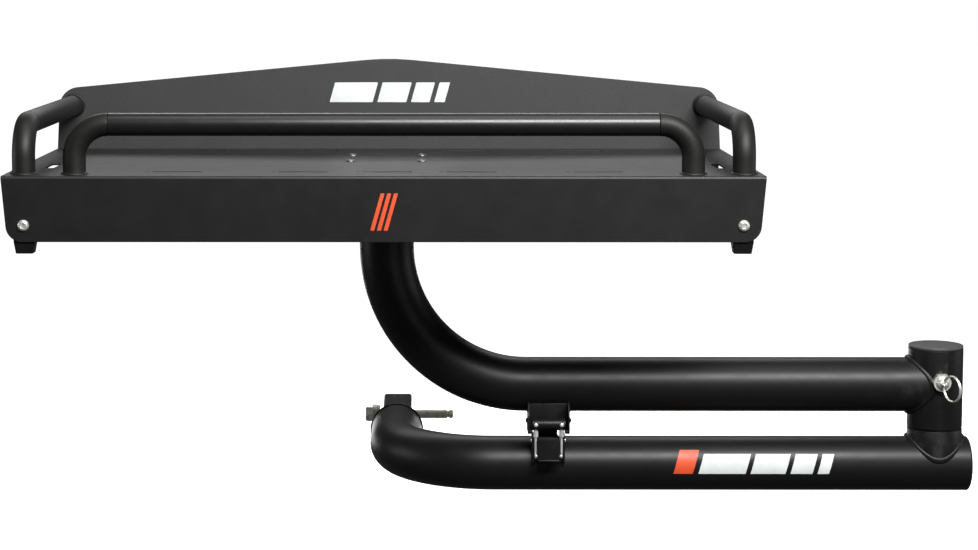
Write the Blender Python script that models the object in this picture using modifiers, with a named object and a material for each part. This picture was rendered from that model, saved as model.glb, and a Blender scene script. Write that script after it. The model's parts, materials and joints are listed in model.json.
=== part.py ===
"""Hitch cargo carrier: a steel tray on a swing-away arm that plugs into a 2 inch receiver.

World frame, in metres: the origin is the centre of the hitch pin hole in the shank, +X points
to the right of somebody who stands behind the vehicle and faces it, +Y points towards the
vehicle, and +Z points up.
"""

import math

import bmesh
import bpy
from mathutils import Matrix, Vector

MM = 0.001
GAP = 0.3 * MM            # clearance between pieces that touch

X = Vector((1, 0, 0))
Y = Vector((0, 1, 0))
Z = Vector((0, 0, 1))

# Arm tubes
ARM_RADIUS = 44.45 * MM
ARM_WALL = 5.0 * MM
ARM_Y = -414.0 * MM       # both arms lie in this plane
ARM_SIDES = 24
ARM_STEP = math.radians(10)    # facet angle of the arms' bends
LOWER_BEND = 165.0 * MM   # centreline radii of the two bends
UPPER_BEND = 228.0 * MM
UPPER_Z = 131.5 * MM      # axis of the upper arm, the lower one is at Z = 0
LOWER_END_X = 943.0 * MM
END_CAP = 4.0 * MM
SHANK_PLATE_Y = -141.0 * MM
SHANK_PLATE = 8.0 * MM

# Shank and hitch pin
SHANK_SIDE = 50.8 * MM
SHANK_WALL = 6.35 * MM
SHANK_CORNER = 4.0 * MM
SHANK_BACK = -185.0 * MM
SHANK_TIP = 64.0 * MM
PIN_RADIUS = 7.95 * MM
PIN_HOLE = 8.4 * MM
PIN_FLANGE = 17.5 * MM

# Pivot post
POST = Vector((888.0, -414.0, 0.0)) * MM
SLEEVE_BORE = 38.95 * MM
SPLIT_Z = 60.0 * MM
WASHER = 2.0 * MM
SLEEVE_TOP = 193.0 * MM
CAP_TOP = 197.6 * MM
SPINDLE_RADIUS = 30.0 * MM
SPINDLE_TOP = 172.0 * MM
LOCK_Z = 143.0 * MM
LOCK_PIN_RADIUS = 6.0 * MM
GROOVE_RADIUS = 24.6 * MM

# Lock pin ring, whose centre hangs forward and a little down from the eye of the pin
RING_RADIUS = 20.5 * MM
RING_WIRE = 2.0 * MM
RING_EYE = Vector((888.0, -479.0, 143.0)) * MM
RING_TURN = math.radians(64)
RING_DROOP = math.radians(13)

# Tray
TRAY_X = -13.0 * MM
TRAY_HALF = 571.75 * MM
TRAY_FRONT = -731.0 * MM
TRAY_BACK = -197.0 * MM
DECK_TOP = 503.0 * MM
APRON_BOTTOM = 403.5 * MM
END_APRON_BOTTOM = 483.0 * MM
SHEET = 3.0 * MM
APRON_TAPER = math.tan(math.radians(4.8))
APRON_CORNER = 25.0 * MM
PANEL_BOTTOM = 411.0 * MM
PANEL_TAPER = math.tan(math.radians(3.0))
PANEL_CORNER_Z = 606.0 * MM
PANEL_CORNER = 35.0 * MM
PANEL_PEAK_Z = 659.6 * MM
FLANGE_SIDE = 150.0 * MM
FLANGE_PLATE = 7.7 * MM
FLANGE_BOLTS = 57.15 * MM
APRON_HOLE = 4.5 * MM
PANEL_BOLT_X = 200.0 * MM
PANEL_BOLT_Z = 455.0 * MM

# Rails
RAIL_RADIUS = 17.5 * MM
RAIL_WALL = 2.5 * MM
RAIL_SIDES = 12
RAIL_STEP = math.radians(15)
RAIL_BEND = 52.0 * MM       # of the corner; the bend leaves a short straight land at each seam
RAIL_LAND = 1.5 * MM
RAIL_Z = DECK_TOP + 74.5 * MM
RAIL_FRONT_Y = -694.0 * MM
FRONT_RAIL_HALF = 466.5 * MM
SIDE_RAIL_HALF = 543.0 * MM

# Feet
FOOT_HALF = 538.5 * MM
FOOT_BOTTOM = 385.4 * MM
FOOT_TOP = 450.0 * MM
FOOT_BOLT_Z = 428.6 * MM

# Latch between the arms
LATCH_X = 250.0 * MM
HANDLE_PIVOT = Vector((250.0, -464.0, 48.0)) * MM
BAIL_PIVOT = Vector((250.0, -474.0, 24.0)) * MM
HANDLE_HALF = 18.6 * MM
PIVOT_BORE = 2.8 * MM     # of the handle's pin
BAIL_WIRE = 2.0 * MM
BAIL_SPREAD = 20.9 * MM   # the rods run close outside the handle
CROSSBAR_Z = 76.5 * MM
CROSSBAR_RADIUS = 9.0 * MM
CROSSBAR_HALF = 27.6 * MM
KEEPER_INNER = 31.3 * MM  # leaves room for the crossbar as the arm swings away in an arc
KEEPER_SHEET = 2.5 * MM
PEG_INNER = 26.0 * MM


def clear_scene():
    for obj in list(bpy.data.objects):
        bpy.data.objects.remove(obj, do_unlink=True)


def collection(name):
    made = bpy.data.collections.new(name)
    bpy.context.scene.collection.children.link(made)
    return made


clear_scene()
PARTS = collection("hitch_cargo_carrier")
CUTTERS = collection("cutters")


def material(name, colour, roughness, metallic):
    made = bpy.data.materials.new(name)
    made.use_nodes = True
    shader = made.node_tree.nodes["Principled BSDF"]
    shader.inputs["Base Color"].default_value = (*colour, 1)
    shader.inputs["Roughness"].default_value = roughness
    shader.inputs["Metallic"].default_value = metallic
    return made


POWDER_COAT = material("black_powder_coat", (0.018, 0.018, 0.019), 0.45, 0.0)
RUBBER = material("black_rubber", (0.012, 0.012, 0.012), 0.8, 0.0)
ZINC = material("bright_zinc", (0.72, 0.72, 0.66), 0.25, 1.0)
PIN_STEEL = material("plated_pin_steel", (0.33, 0.32, 0.27), 0.4, 1.0)
BRONZE = material("bronze", (0.42, 0.25, 0.1), 0.4, 1.0)
MACHINED = material("machined_steel", (0.4, 0.4, 0.42), 0.35, 1.0)


def place(obj, finish):
    """Put a finished piece among the parts; without a finish it is a tool for a Boolean."""
    (PARTS if finish else CUTTERS).objects.link(obj)
    if finish:
        obj.data.materials.append(finish)
    else:
        obj.hide_render = True
        obj.display_type = "WIRE"
    return obj


def smooth(obj):
    obj.data.shade_smooth()
    obj.data.set_sharp_from_angle(angle=math.radians(35))
    return obj


def aim(direction):
    """Rotation that turns local +Z towards a direction."""
    return Vector(direction).to_track_quat("Z", "Y").to_euler()


def rounded(corners, radii, step=math.radians(15), closed=False):
    """Points of a path whose corners are replaced with arcs of the given radii."""
    count = len(corners)
    points = []
    for index, (corner, radius) in enumerate(zip(corners, radii)):
        ends = not closed and index in (0, count - 1)
        if ends or radius == 0:
            points.append(corner.copy())
            continue
        before = (corners[index - 1] - corner).normalized()
        after = (corners[(index + 1) % count] - corner).normalized()
        half = before.angle(after) / 2
        centre = corner + (before + after).normalized() * (radius / math.sin(half))
        start = corner + before * (radius / math.tan(half)) - centre
        turn = math.pi - 2 * half
        axis = start.cross(before).normalized()
        steps = max(2, math.ceil(turn / step))
        for number in range(steps + 1):
            spin = Matrix.Rotation(-turn * number / steps, 3, axis)
            points.append(centre + spin @ start)
    return points


def as_mesh(obj):
    """Turn a curve object into a mesh object with its loose caps welded."""
    graph = bpy.context.evaluated_depsgraph_get()
    mesh = bpy.data.meshes.new_from_object(obj.evaluated_get(graph))
    work = bmesh.new()
    work.from_mesh(mesh)
    bmesh.ops.remove_doubles(work, verts=work.verts, dist=0.00001)
    bmesh.ops.recalc_face_normals(work, faces=work.faces)
    work.to_mesh(mesh)
    work.free()
    name = obj.name
    made = bpy.data.objects.new(name, mesh)
    made.matrix_world = obj.matrix_world
    bpy.data.objects.remove(obj)
    made.name = name
    return made


def add_spline(data, points):
    spline = data.splines.new("POLY")
    spline.points.add(len(points) - 1)
    for target, point in zip(spline.points, points):
        target.co = (*point, 1)
    return spline


def box(name, low, high, finish=None):
    low, high = Vector(low), Vector(high)
    mesh = bpy.data.meshes.new(name)
    work = bmesh.new()
    bmesh.ops.create_cube(work, size=1)
    bmesh.ops.scale(work, verts=work.verts, vec=high - low)
    work.to_mesh(mesh)
    work.free()
    obj = bpy.data.objects.new(name, mesh)
    obj.location = (low + high) / 2
    return place(obj, finish)


def rod(name, start, end, radius, finish=None, sides=16):
    """A solid cylinder, or with few sides a hexagon bar, between two points."""
    start, end = Vector(start), Vector(end)
    mesh = bpy.data.meshes.new(name)
    work = bmesh.new()
    bmesh.ops.create_cone(work, cap_ends=True, segments=sides, radius1=radius, radius2=radius,
                          depth=(end - start).length)
    work.to_mesh(mesh)
    work.free()
    obj = bpy.data.objects.new(name, mesh)
    obj.location = (start + end) / 2
    obj.rotation_euler = aim(end - start)
    return smooth(place(obj, finish))


def turned(name, profile, base, direction, finish=None, sides=20):
    """A turned piece. The profile is (radius, height) from its top, down its outer side; one
    that doesn't start and end on the axis is a closed loop and gives a ring."""
    mesh = bpy.data.meshes.new(name)
    points = [(radius, 0, height) for radius, height in profile]
    edges = [(index, index + 1) for index in range(len(points) - 1)]
    if profile[0][0] > 0:
        edges.append((len(points) - 1, 0))
    mesh.from_pydata(points, edges, [])
    obj = bpy.data.objects.new(name, mesh)
    obj.location = base
    obj.rotation_euler = aim(direction)
    screw = obj.modifiers.new("turn", "SCREW")
    screw.steps = sides
    screw.render_steps = sides
    screw.use_merge_vertices = True
    screw.merge_threshold = 0.00001
    screw.use_smooth_shade = False
    return place(obj, finish)


def ring(name, outer, inner, low, high, base, direction, finish=None, sides=20):
    """A straight tube, washer or bushing between two heights along a direction."""
    profile = [(outer, high), (outer, low), (inner, low), (inner, high)]
    return turned(name, profile, base, direction, finish, sides)


def bent_tube(name, corners, bend, radius, wall, sides, step):
    """A hollow tube along a path with bends of one centreline radius."""
    data = bpy.data.curves.new(name, "CURVE")
    data.dimensions = "3D"
    add_spline(data, rounded(corners, [bend] * len(corners), step))
    data.bevel_depth = radius
    data.bevel_resolution = sides // 2 - 2
    obj = as_mesh(bpy.data.objects.new(name, data))
    shell = obj.modifiers.new("wall", "SOLIDIFY")
    shell.thickness = wall
    shell.offset = -1
    return smooth(place(obj, POWDER_COAT))


def plate(name, outline, holes, thickness, location, facing, finish=None):
    """A flat plate from an outline and hole outlines, in the plane across 'facing' (Z or Y)."""
    data = bpy.data.curves.new(name, "CURVE")
    data.dimensions = "2D"
    data.fill_mode = "BOTH"
    data.extrude = thickness / 2
    for points in [outline, *holes]:
        add_spline(data, points).use_cyclic_u = True
    curve = bpy.data.objects.new(name, data)
    curve.location = location
    if facing == Y:
        curve.rotation_euler = (math.radians(90), 0, 0)
    bpy.context.scene.collection.objects.link(curve)
    bpy.context.view_layer.update()
    return place(as_mesh(curve), finish)


def rectangle(low, high, radius):
    corners = [Vector((low[0], low[1], 0)), Vector((high[0], low[1], 0)),
               Vector((high[0], high[1], 0)), Vector((low[0], high[1], 0))]
    return rounded(corners, [radius] * 4, math.radians(30), closed=True)


def circle(centre, radius, sides=16):
    spots = [math.tau * number / sides for number in range(sides)]
    return [Vector((centre[0] + radius * math.cos(spot), centre[1] + radius * math.sin(spot), 0))
            for spot in spots]


def slot(centre, length, width, along="x"):
    half = (length / 2, width / 2) if along == "x" else (width / 2, length / 2)
    low = (centre[0] - half[0], centre[1] - half[1])
    high = (centre[0] + half[0], centre[1] + half[1])
    return rectangle(low, high, width / 2 - 0.01 * MM)


def boolean(target, tool, operation):
    modifier = target.modifiers.new(tool.name, "BOOLEAN")
    modifier.operation = operation
    modifier.object = tool
    return target


def cut(target, *tools):
    for tool in tools:
        boolean(target, tool, "DIFFERENCE")
    return target


def fuse(target, *tools):
    for tool in tools:
        boolean(target, tool, "UNION")
    return target


def joint_empty(name, position):
    empty = bpy.data.objects.new(name, None)
    empty.location = position
    PARTS.objects.link(empty)
    return empty


def hang_on(empty, *pieces):
    """Parent pieces to the empty on their joint's axis, leaving them where they are."""
    for piece in pieces:
        piece.parent = empty
        piece.location = piece.location - empty.location


def lofted(name, rings, finish):
    """A closed skin over rings of equal point counts, from the lowest ring to the highest."""
    mesh = bpy.data.meshes.new(name)
    work = bmesh.new()
    rows = [[work.verts.new(point) for point in points] for points in rings]
    for lower, upper in zip(rows, rows[1:]):
        for index in range(len(lower)):
            following = (index + 1) % len(lower)
            work.faces.new((lower[index], lower[following], upper[following], upper[index]))
    work.faces.new(reversed(rows[0]))
    work.faces.new(rows[-1])
    work.to_mesh(mesh)
    work.free()
    return place(bpy.data.objects.new(name, mesh), finish)


def button_bolt(name, seat, direction, head_radius, shank_radius, length):
    """A button head screw: its head stands on 'seat' and its shank runs against 'direction'."""
    head = 5.0 * MM
    profile = [(0, head), (head_radius * 0.55, head), (head_radius * 0.9, head * 0.55),
               (head_radius, 0), (shank_radius, 0), (shank_radius, -length), (0, -length)]
    return turned(name, profile, seat, direction, ZINC, 12)


# ---------------------------------------------------------------- lower arm and shank

def lower_arm():
    path = [Vector((LOWER_END_X - END_CAP - GAP, ARM_Y, 0)), Vector((0, ARM_Y, 0)),
            Vector((0, SHANK_PLATE_Y, 0))]
    bent_tube("lower_arm_tube", path, LOWER_BEND, ARM_RADIUS, ARM_WALL, ARM_SIDES, ARM_STEP)

    edge = 2.5 * MM
    cap = [(0, END_CAP), (ARM_RADIUS - edge, END_CAP), (ARM_RADIUS - 0.3 * edge, END_CAP - 0.3 * edge),
           (ARM_RADIUS, END_CAP - edge), (ARM_RADIUS, 0), (0, 0)]
    turned("lower_arm_end_cap", cap, (LOWER_END_X - END_CAP, ARM_Y, 0), X, POWDER_COAT, ARM_SIDES)

    half = SHANK_SIDE / 2
    middle = SHANK_PLATE_Y + GAP + SHANK_PLATE / 2
    collar = half + GAP
    plate("shank_end_plate", circle((0, 0), ARM_RADIUS, ARM_SIDES),
          [rectangle((-collar, -collar), (collar, collar), SHANK_CORNER)],
          SHANK_PLATE, (0, middle, 0), Y, POWDER_COAT)

    inner = half - SHANK_WALL
    shank = plate("shank_tube", rectangle((-half, -half), (half, half), SHANK_CORNER),
                  [rectangle((-inner, -inner), (inner, inner), 1.5 * MM)],
                  SHANK_TIP - SHANK_BACK, (0, (SHANK_TIP + SHANK_BACK) / 2, 0), Y, POWDER_COAT)
    reach = 60 * MM
    cut(shank, rod("pin_hole_cutter", (-reach, 0, 0), (reach, 0, 0), PIN_HOLE, sides=24))


def arm_rest():
    half_x = 16.5 * MM
    half_y = 20.0 * MM
    step = 72.0 * MM
    block = box("arm_rest_block", (LATCH_X - half_x, ARM_Y - half_y, 30 * MM),
                (LATCH_X + half_x, ARM_Y + half_y, step), POWDER_COAT)
    reach = 60 * MM
    cut(block, rod("rest_saddle_cutter", (LATCH_X - reach, ARM_Y, 0), (LATCH_X + reach, ARM_Y, 0),
                   ARM_RADIUS + GAP, sides=ARM_SIDES * 2))
    inset = 0.5 * MM
    pad_top = UPPER_Z - ARM_RADIUS - GAP
    box("arm_rest_pad", (LATCH_X - half_x + inset, ARM_Y - half_y + inset, step + GAP),
        (LATCH_X + half_x - inset, ARM_Y + half_y - inset, pad_top), RUBBER)


# ---------------------------------------------------------------- pivot post

def pivot_post(swing):
    base = Vector((POST.x, POST.y, 0))
    reach = 70 * MM

    stub_bore = ARM_RADIUS - 6 * MM
    stub = ring("pivot_stub", ARM_RADIUS, stub_bore, 0, SPLIT_Z, base, Z, POWDER_COAT, ARM_SIDES)
    cut(stub, rod("stub_saddle_cutter", base - X * reach, base + X * reach, ARM_RADIUS + GAP,
                  sides=ARM_SIDES * 2))

    plug_low = 46 * MM
    plug = stub_bore - GAP
    bolt_hole = 5.3 * MM
    hole_low = SPINDLE_TOP - 30 * MM
    groove = LOCK_PIN_RADIUS + 0.5 * MM
    profile = [(0, hole_low), (bolt_hole, hole_low), (bolt_hole, SPINDLE_TOP),
               (SPINDLE_RADIUS, SPINDLE_TOP), (SPINDLE_RADIUS, LOCK_Z + groove),
               (GROOVE_RADIUS, LOCK_Z + groove), (GROOVE_RADIUS, LOCK_Z - groove),
               (SPINDLE_RADIUS, LOCK_Z - groove), (SPINDLE_RADIUS, SPLIT_Z),
               (plug, SPLIT_Z), (plug, plug_low), (0, plug_low)]
    turned("pivot_spindle", profile, base, Z, MACHINED, ARM_SIDES)

    sleeve_low = SPLIT_Z + GAP + WASHER + GAP
    ring("thrust_washer", ARM_RADIUS, SPINDLE_RADIUS + GAP, SPLIT_Z + GAP, SPLIT_Z + GAP + WASHER,
         base, Z, BRONZE, ARM_SIDES)
    washer_low = SPINDLE_TOP + GAP
    washer_top = washer_low + 3.5 * MM
    ring("spindle_washer", SLEEVE_BORE - 2 * MM, bolt_hole + GAP, washer_low, washer_top,
         base, Z, ZINC)
    hex_radius = 13.8 * MM
    bolt = rod("spindle_bolt", base + Z * (washer_top + GAP), base + Z * (washer_top + 10 * MM),
               hex_radius, ZINC, 6)
    fuse(bolt, rod("spindle_bolt_shank", base + Z * (hole_low + GAP), base + Z * (washer_top + MM),
                   bolt_hole - GAP))

    sleeve = ring("pivot_sleeve", ARM_RADIUS, SLEEVE_BORE, sleeve_low, SLEEVE_TOP, base, Z,
                  POWDER_COAT, ARM_SIDES)
    lock_base = base + Z * LOCK_Z
    barrel = 9.0 * MM
    cut(sleeve, rod("lock_hole_cutter", lock_base - Y * 30 * MM, lock_base - Y * 60 * MM,
                    barrel + GAP))
    edge = 1.5 * MM
    cap_low = SLEEVE_TOP + GAP
    cap = [(0, CAP_TOP), (ARM_RADIUS - edge, CAP_TOP), (ARM_RADIUS, CAP_TOP - edge),
           (ARM_RADIUS, cap_low), (0, cap_low)]
    pieces = [sleeve, turned("pivot_cap", cap, base, Z, POWDER_COAT, ARM_SIDES)]
    bush = SLEEVE_BORE - GAP
    for name, low, high in (("lower_bushing", sleeve_low + GAP, 112 * MM),
                            ("upper_bushing", 154 * MM, SPINDLE_TOP)):
        pieces.append(ring(name, bush, SPINDLE_RADIUS + GAP, low, high, base, Z, BRONZE,
                           ARM_SIDES))

    housing = rod("lock_pin_housing", lock_base - Y * 40 * MM, lock_base - Y * 54 * MM, 15.6 * MM,
                  ZINC, 6)
    arm_axis = base + Z * UPPER_Z
    cut(housing, rod("housing_saddle_cutter", base, base + Z * 180 * MM, ARM_RADIUS + GAP,
                     sides=ARM_SIDES * 2),
        rod("housing_arm_cutter", arm_axis - X * 40 * MM, arm_axis, ARM_RADIUS + GAP,
            sides=ARM_SIDES * 2))
    fuse(housing, rod("housing_barrel", lock_base - Y * 33 * MM, lock_base - Y * 50 * MM, barrel))
    cut(housing, rod("housing_bore_cutter", lock_base, lock_base - Y * 60 * MM,
                     LOCK_PIN_RADIUS + GAP))
    pieces.append(housing)
    hang_on(swing, *pieces)


def lock_pin(empty, ring_empty):
    """The plunger that holds the sleeve on the spindle, with its pull ring."""
    head_low, head_top, eye_top = 54.4 * MM, 60 * MM, 70 * MM
    eye, head = 6 * MM, 10 * MM
    profile = [(0, eye_top), (eye * 0.6, eye_top), (eye, eye_top - 2.5 * MM), (eye, head_top),
               (head - MM, head_top), (head, head_top - MM), (head, head_low),
               (LOCK_PIN_RADIUS, head_low), (LOCK_PIN_RADIUS, 27 * MM), (4 * MM, 25.2 * MM),
               (0, 25.2 * MM)]
    base = Vector((POST.x, POST.y, LOCK_Z))
    pin = turned("lock_pin", profile, base, -Y, ZINC)

    outward = Vector((math.cos(RING_TURN), -math.sin(RING_TURN), 0))
    to_centre = outward * math.cos(RING_DROOP) - Z * math.sin(RING_DROOP)
    axis = (Z - to_centre * Z.dot(to_centre)).normalized()
    reach = axis * 12 * MM
    cut(pin, rod("eye_cutter", RING_EYE - reach, RING_EYE + reach, RING_WIRE + 1.1 * MM, sides=12))

    bpy.ops.mesh.primitive_torus_add(major_radius=RING_RADIUS, minor_radius=RING_WIRE,
                                     major_segments=28, minor_segments=8,
                                     location=RING_EYE + to_centre * RING_RADIUS,
                                     rotation=aim(axis.cross(to_centre)))
    made = bpy.context.object
    made.name = "lock_ring"
    for owner in list(made.users_collection):
        owner.objects.unlink(made)
    place(made, ZINC)
    hang_on(empty, pin)
    hang_on(ring_empty, made)


# ---------------------------------------------------------------- upper arm

def upper_arm(swing):
    flange_low = DECK_TOP - SHEET - GAP - FLANGE_PLATE
    path = [Vector((POST.x - 4 * MM, ARM_Y, UPPER_Z)), Vector((TRAY_X, ARM_Y, UPPER_Z)),
            Vector((TRAY_X, ARM_Y, flange_low - GAP))]
    tube = bent_tube("upper_arm_tube", path, UPPER_BEND, ARM_RADIUS, ARM_WALL, ARM_SIDES,
                     ARM_STEP)
    cut(tube, rod("sleeve_cope_cutter", POST, POST + Z * 260 * MM, ARM_RADIUS + GAP,
                  sides=ARM_SIDES * 2))

    half = FLANGE_SIDE / 2
    spots = [(side * FLANGE_BOLTS, end * FLANGE_BOLTS) for side in (-1, 1) for end in (-1, 1)]
    flange = plate("riser_flange", rectangle((-half, -half), (half, half), 12 * MM),
                   [circle(spot, 5.1 * MM) for spot in spots], FLANGE_PLATE,
                   (TRAY_X, ARM_Y, flange_low + FLANGE_PLATE / 2), Z, POWDER_COAT)
    hang_on(swing, tube, flange)
    names = ("front_left", "back_left", "front_right", "back_right")
    for name, (side, end) in zip(names, spots):
        bolt = button_bolt(f"flange_bolt_{name}", (TRAY_X + side, ARM_Y + end, DECK_TOP + GAP), Z,
                           8.7 * MM, 4.7 * MM, 14 * MM)
        hang_on(swing, bolt)


# ---------------------------------------------------------------- tray

def deck_holes():
    """Hole outlines about the tray's centre line: rows of hold-down slots and flange bolts."""
    holes = []
    for row_y in (-657 * MM, -245 * MM):
        for offset in (-321 * MM, -128 * MM, 0, 128 * MM, 321 * MM):
            holes.append(slot((offset + 5 * MM, row_y), 78 * MM, 12 * MM))
            holes.append(circle((offset - 41 * MM, row_y), 3.8 * MM, 12))
    for side in (-1, 1):
        holes.append(slot((side * 522 * MM, -550 * MM), 84 * MM, 14 * MM, along="y"))
        holes.append(circle((side * 522 * MM, -455 * MM), 4.5 * MM, 12))
        for end in (-1, 1):
            holes.append(circle((side * FLANGE_BOLTS, ARM_Y + end * FLANGE_BOLTS), 5.3 * MM, 12))
    return holes


def tapered_side(height):
    """Half width of the aprons at a height: they lean inwards below the deck."""
    return TRAY_HALF - (DECK_TOP - height) * APRON_TAPER


def mirrored(points):
    """Close an outline about X = 0 from the points of its right half, bottom to top."""
    return points + [Vector((-point.x, point.y, 0)) for point in reversed(points)]


def front_fascia():
    low = Vector((tapered_side(APRON_BOTTOM), APRON_BOTTOM, 0))
    high = Vector((TRAY_HALF, DECK_TOP, 0))
    outline = rounded(mirrored([low, high]), [APRON_CORNER, 2 * MM, 2 * MM, APRON_CORNER],
                      closed=True)
    holes = [circle((side * FOOT_HALF, FOOT_BOLT_Z), APRON_HOLE, 12) for side in (-1, 1)]
    return plate("front_fascia", outline, holes, SHEET, (TRAY_X, TRAY_FRONT + SHEET / 2, 0), Y,
                 POWDER_COAT)


def rear_hole_spots():
    spots = [(side * FOOT_HALF, FOOT_BOLT_Z) for side in (-1, 1)]
    return spots + [(side * PANEL_BOLT_X, PANEL_BOLT_Z) for side in (-1, 1)]


def rear_apron():
    low = Vector((tapered_side(APRON_BOTTOM), APRON_BOTTOM, 0))
    high = Vector((TRAY_HALF, DECK_TOP, 0))
    outline = rounded(mirrored([low, high]), [APRON_CORNER, 2 * MM, 2 * MM, APRON_CORNER],
                      closed=True)
    holes = [circle(spot, APRON_HOLE, 12) for spot in rear_hole_spots()]
    return plate("rear_apron", outline, holes, SHEET, (TRAY_X, TRAY_BACK - SHEET / 2, 0), Y,
                 POWDER_COAT)


def back_panel():
    shoulder = TRAY_HALF - (PANEL_CORNER_Z - DECK_TOP) * PANEL_TAPER
    half = [Vector((tapered_side(PANEL_BOTTOM), PANEL_BOTTOM, 0)), Vector((TRAY_HALF, DECK_TOP, 0)),
            Vector((shoulder, PANEL_CORNER_Z, 0))]
    corners = half + [Vector((0, PANEL_PEAK_Z, 0))] + [Vector((-p.x, p.y, 0)) for p in half[::-1]]
    radii = [20 * MM, 40 * MM, PANEL_CORNER, 400 * MM, PANEL_CORNER, 40 * MM, 20 * MM]
    outline = rounded(corners, radii, closed=True)
    holes = [circle(spot, APRON_HOLE, 12) for spot in rear_hole_spots()]
    holes += [circle((side * SIDE_RAIL_HALF, RAIL_Z), 5 * MM, 12) for side in (-1, 1)]
    return plate("back_panel", outline, holes, SHEET, (TRAY_X, TRAY_BACK + GAP + SHEET / 2, 0), Y,
                 POWDER_COAT)


def end_apron(name, side):
    top = DECK_TOP - SHEET - GAP
    inset = MM
    outer_low = tapered_side(END_APRON_BOTTOM) - inset
    outer_high = tapered_side(top) - inset
    corners = [(outer_low - SHEET, END_APRON_BOTTOM), (outer_low, END_APRON_BOTTOM),
               (outer_high, top), (outer_high - SHEET, top)]
    outline = [Vector((side * x, z, 0)) for x, z in corners][::side]
    front, back = TRAY_FRONT + SHEET + GAP, TRAY_BACK - SHEET - GAP
    return plate(name, outline, [], back - front, (TRAY_X, (front + back) / 2, 0), Y, POWDER_COAT)


def tray(swing):
    front, back = TRAY_FRONT + SHEET + GAP, TRAY_BACK - SHEET - GAP
    deck = plate("deck_plate", rectangle((-TRAY_HALF, front), (TRAY_HALF, back), 2 * MM),
                 deck_holes(), SHEET, (TRAY_X, 0, DECK_TOP - SHEET / 2), Z, POWDER_COAT)
    hang_on(swing, deck, front_fascia(), rear_apron(), back_panel(),
            end_apron("end_apron_left", -1), end_apron("end_apron_right", 1))
    for name, side in (("left", -1), ("right", 1)):
        seat = Vector((TRAY_X + side * PANEL_BOLT_X, TRAY_BACK + GAP + SHEET + GAP, PANEL_BOLT_Z))
        grip = 2 * (SHEET + GAP) + GAP
        profile = [(0, 4 * MM), (6 * MM, 4 * MM), (8 * MM, 0), (3.9 * MM, 0), (3.9 * MM, -grip),
                   (7.5 * MM, -grip), (6 * MM, -grip - 6 * MM), (0, -grip - 6 * MM)]
        hang_on(swing, turned(f"panel_bolt_{name}", profile, seat, Y, ZINC, 12))


def rails(swing):
    legs = DECK_TOP + GAP
    seam = FRONT_RAIL_HALF - RAIL_BEND
    start = Vector((TRAY_X - seam + GAP, RAIL_FRONT_Y, RAIL_Z))
    pieces = [ring("front_rail_bar", RAIL_RADIUS, RAIL_RADIUS - RAIL_WALL, 0, 2 * (seam - GAP),
                   start, X, POWDER_COAT, RAIL_SIDES)]
    panel_face = TRAY_BACK
    for name, side in (("left", -1), ("right", 1)):
        front_x = TRAY_X + side * FRONT_RAIL_HALF
        path = [Vector((front_x, RAIL_FRONT_Y, legs)), Vector((front_x, RAIL_FRONT_Y, RAIL_Z)),
                Vector((front_x - side * RAIL_BEND, RAIL_FRONT_Y, RAIL_Z))]
        pieces.append(bent_tube(f"front_rail_elbow_{name}", path, RAIL_BEND - RAIL_LAND,
                                RAIL_RADIUS, RAIL_WALL, RAIL_SIDES, RAIL_STEP))
        side_x = TRAY_X + side * SIDE_RAIL_HALF
        path = [Vector((side_x, RAIL_FRONT_Y, legs)), Vector((side_x, RAIL_FRONT_Y, RAIL_Z)),
                Vector((side_x, RAIL_FRONT_Y + RAIL_BEND, RAIL_Z))]
        pieces.append(bent_tube(f"side_rail_elbow_{name}", path, RAIL_BEND - RAIL_LAND,
                                RAIL_RADIUS, RAIL_WALL, RAIL_SIDES, RAIL_STEP))
        low = RAIL_FRONT_Y + RAIL_BEND + GAP
        axis = Vector((side_x, 0, RAIL_Z))
        pieces.append(ring(f"side_rail_bar_{name}", RAIL_RADIUS, RAIL_RADIUS - RAIL_WALL, low,
                           panel_face, axis, Y, POWDER_COAT, RAIL_SIDES))
        pieces.append(ring(f"rail_plug_{name}", RAIL_RADIUS - RAIL_WALL - 0.6 * MM, 4.8 * MM,
                           panel_face - 25 * MM, panel_face, axis, Y, MACHINED, RAIL_SIDES))
        seat = axis + Y * (panel_face + GAP + SHEET + GAP)
        pieces.append(button_bolt(f"rail_bolt_{name}", seat, Y, 9 * MM, 4.4 * MM, 22 * MM))
    hang_on(swing, *pieces)


def foot(name, centre_y):
    """A rubber foot: straight behind its apron, tapered below it."""
    def corners(half, height):
        signs = ((-1, -1), (1, -1), (1, 1), (-1, 1))
        return [(x * half, centre_y + y * half, height) for x, y in signs]
    wide, narrow = 16.5 * MM, 13.5 * MM
    return lofted(name, [corners(narrow, FOOT_BOTTOM), corners(wide, APRON_BOTTOM),
                         corners(wide, FOOT_TOP)], RUBBER)


def feet(swing):
    half = 16.5 * MM
    ends = (("front", TRAY_FRONT + SHEET + GAP + half, -1, TRAY_FRONT - GAP, SHEET),
            ("back", TRAY_BACK - SHEET - GAP - half, 1, TRAY_BACK + 2 * GAP + SHEET, 2 * SHEET))
    for end, centre_y, facing, seat_y, grip in ends:
        for side_name, side in (("left", -1), ("right", 1)):
            name = f"foot_{end}_{side_name}"
            made = foot(name, centre_y)
            made.location.x = TRAY_X + side * FOOT_HALF
            seat = Vector((TRAY_X + side * FOOT_HALF, seat_y, FOOT_BOLT_Z))
            drill = seat - Y * facing * (grip + 25 * MM)
            cut(made, rod(f"{name}_cutter", seat, drill, 4.3 * MM, sides=12))
            bolt = button_bolt(f"foot_bolt_{end}_{side_name}", seat, Y * facing, 8.75 * MM,
                               3.9 * MM, grip + 22 * MM)
            hang_on(swing, made, bolt)


# ---------------------------------------------------------------- latch

def across(point, half):
    """Two ends of a line of half length 'half' along X through a point."""
    return point - X * half, point + X * half


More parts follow.
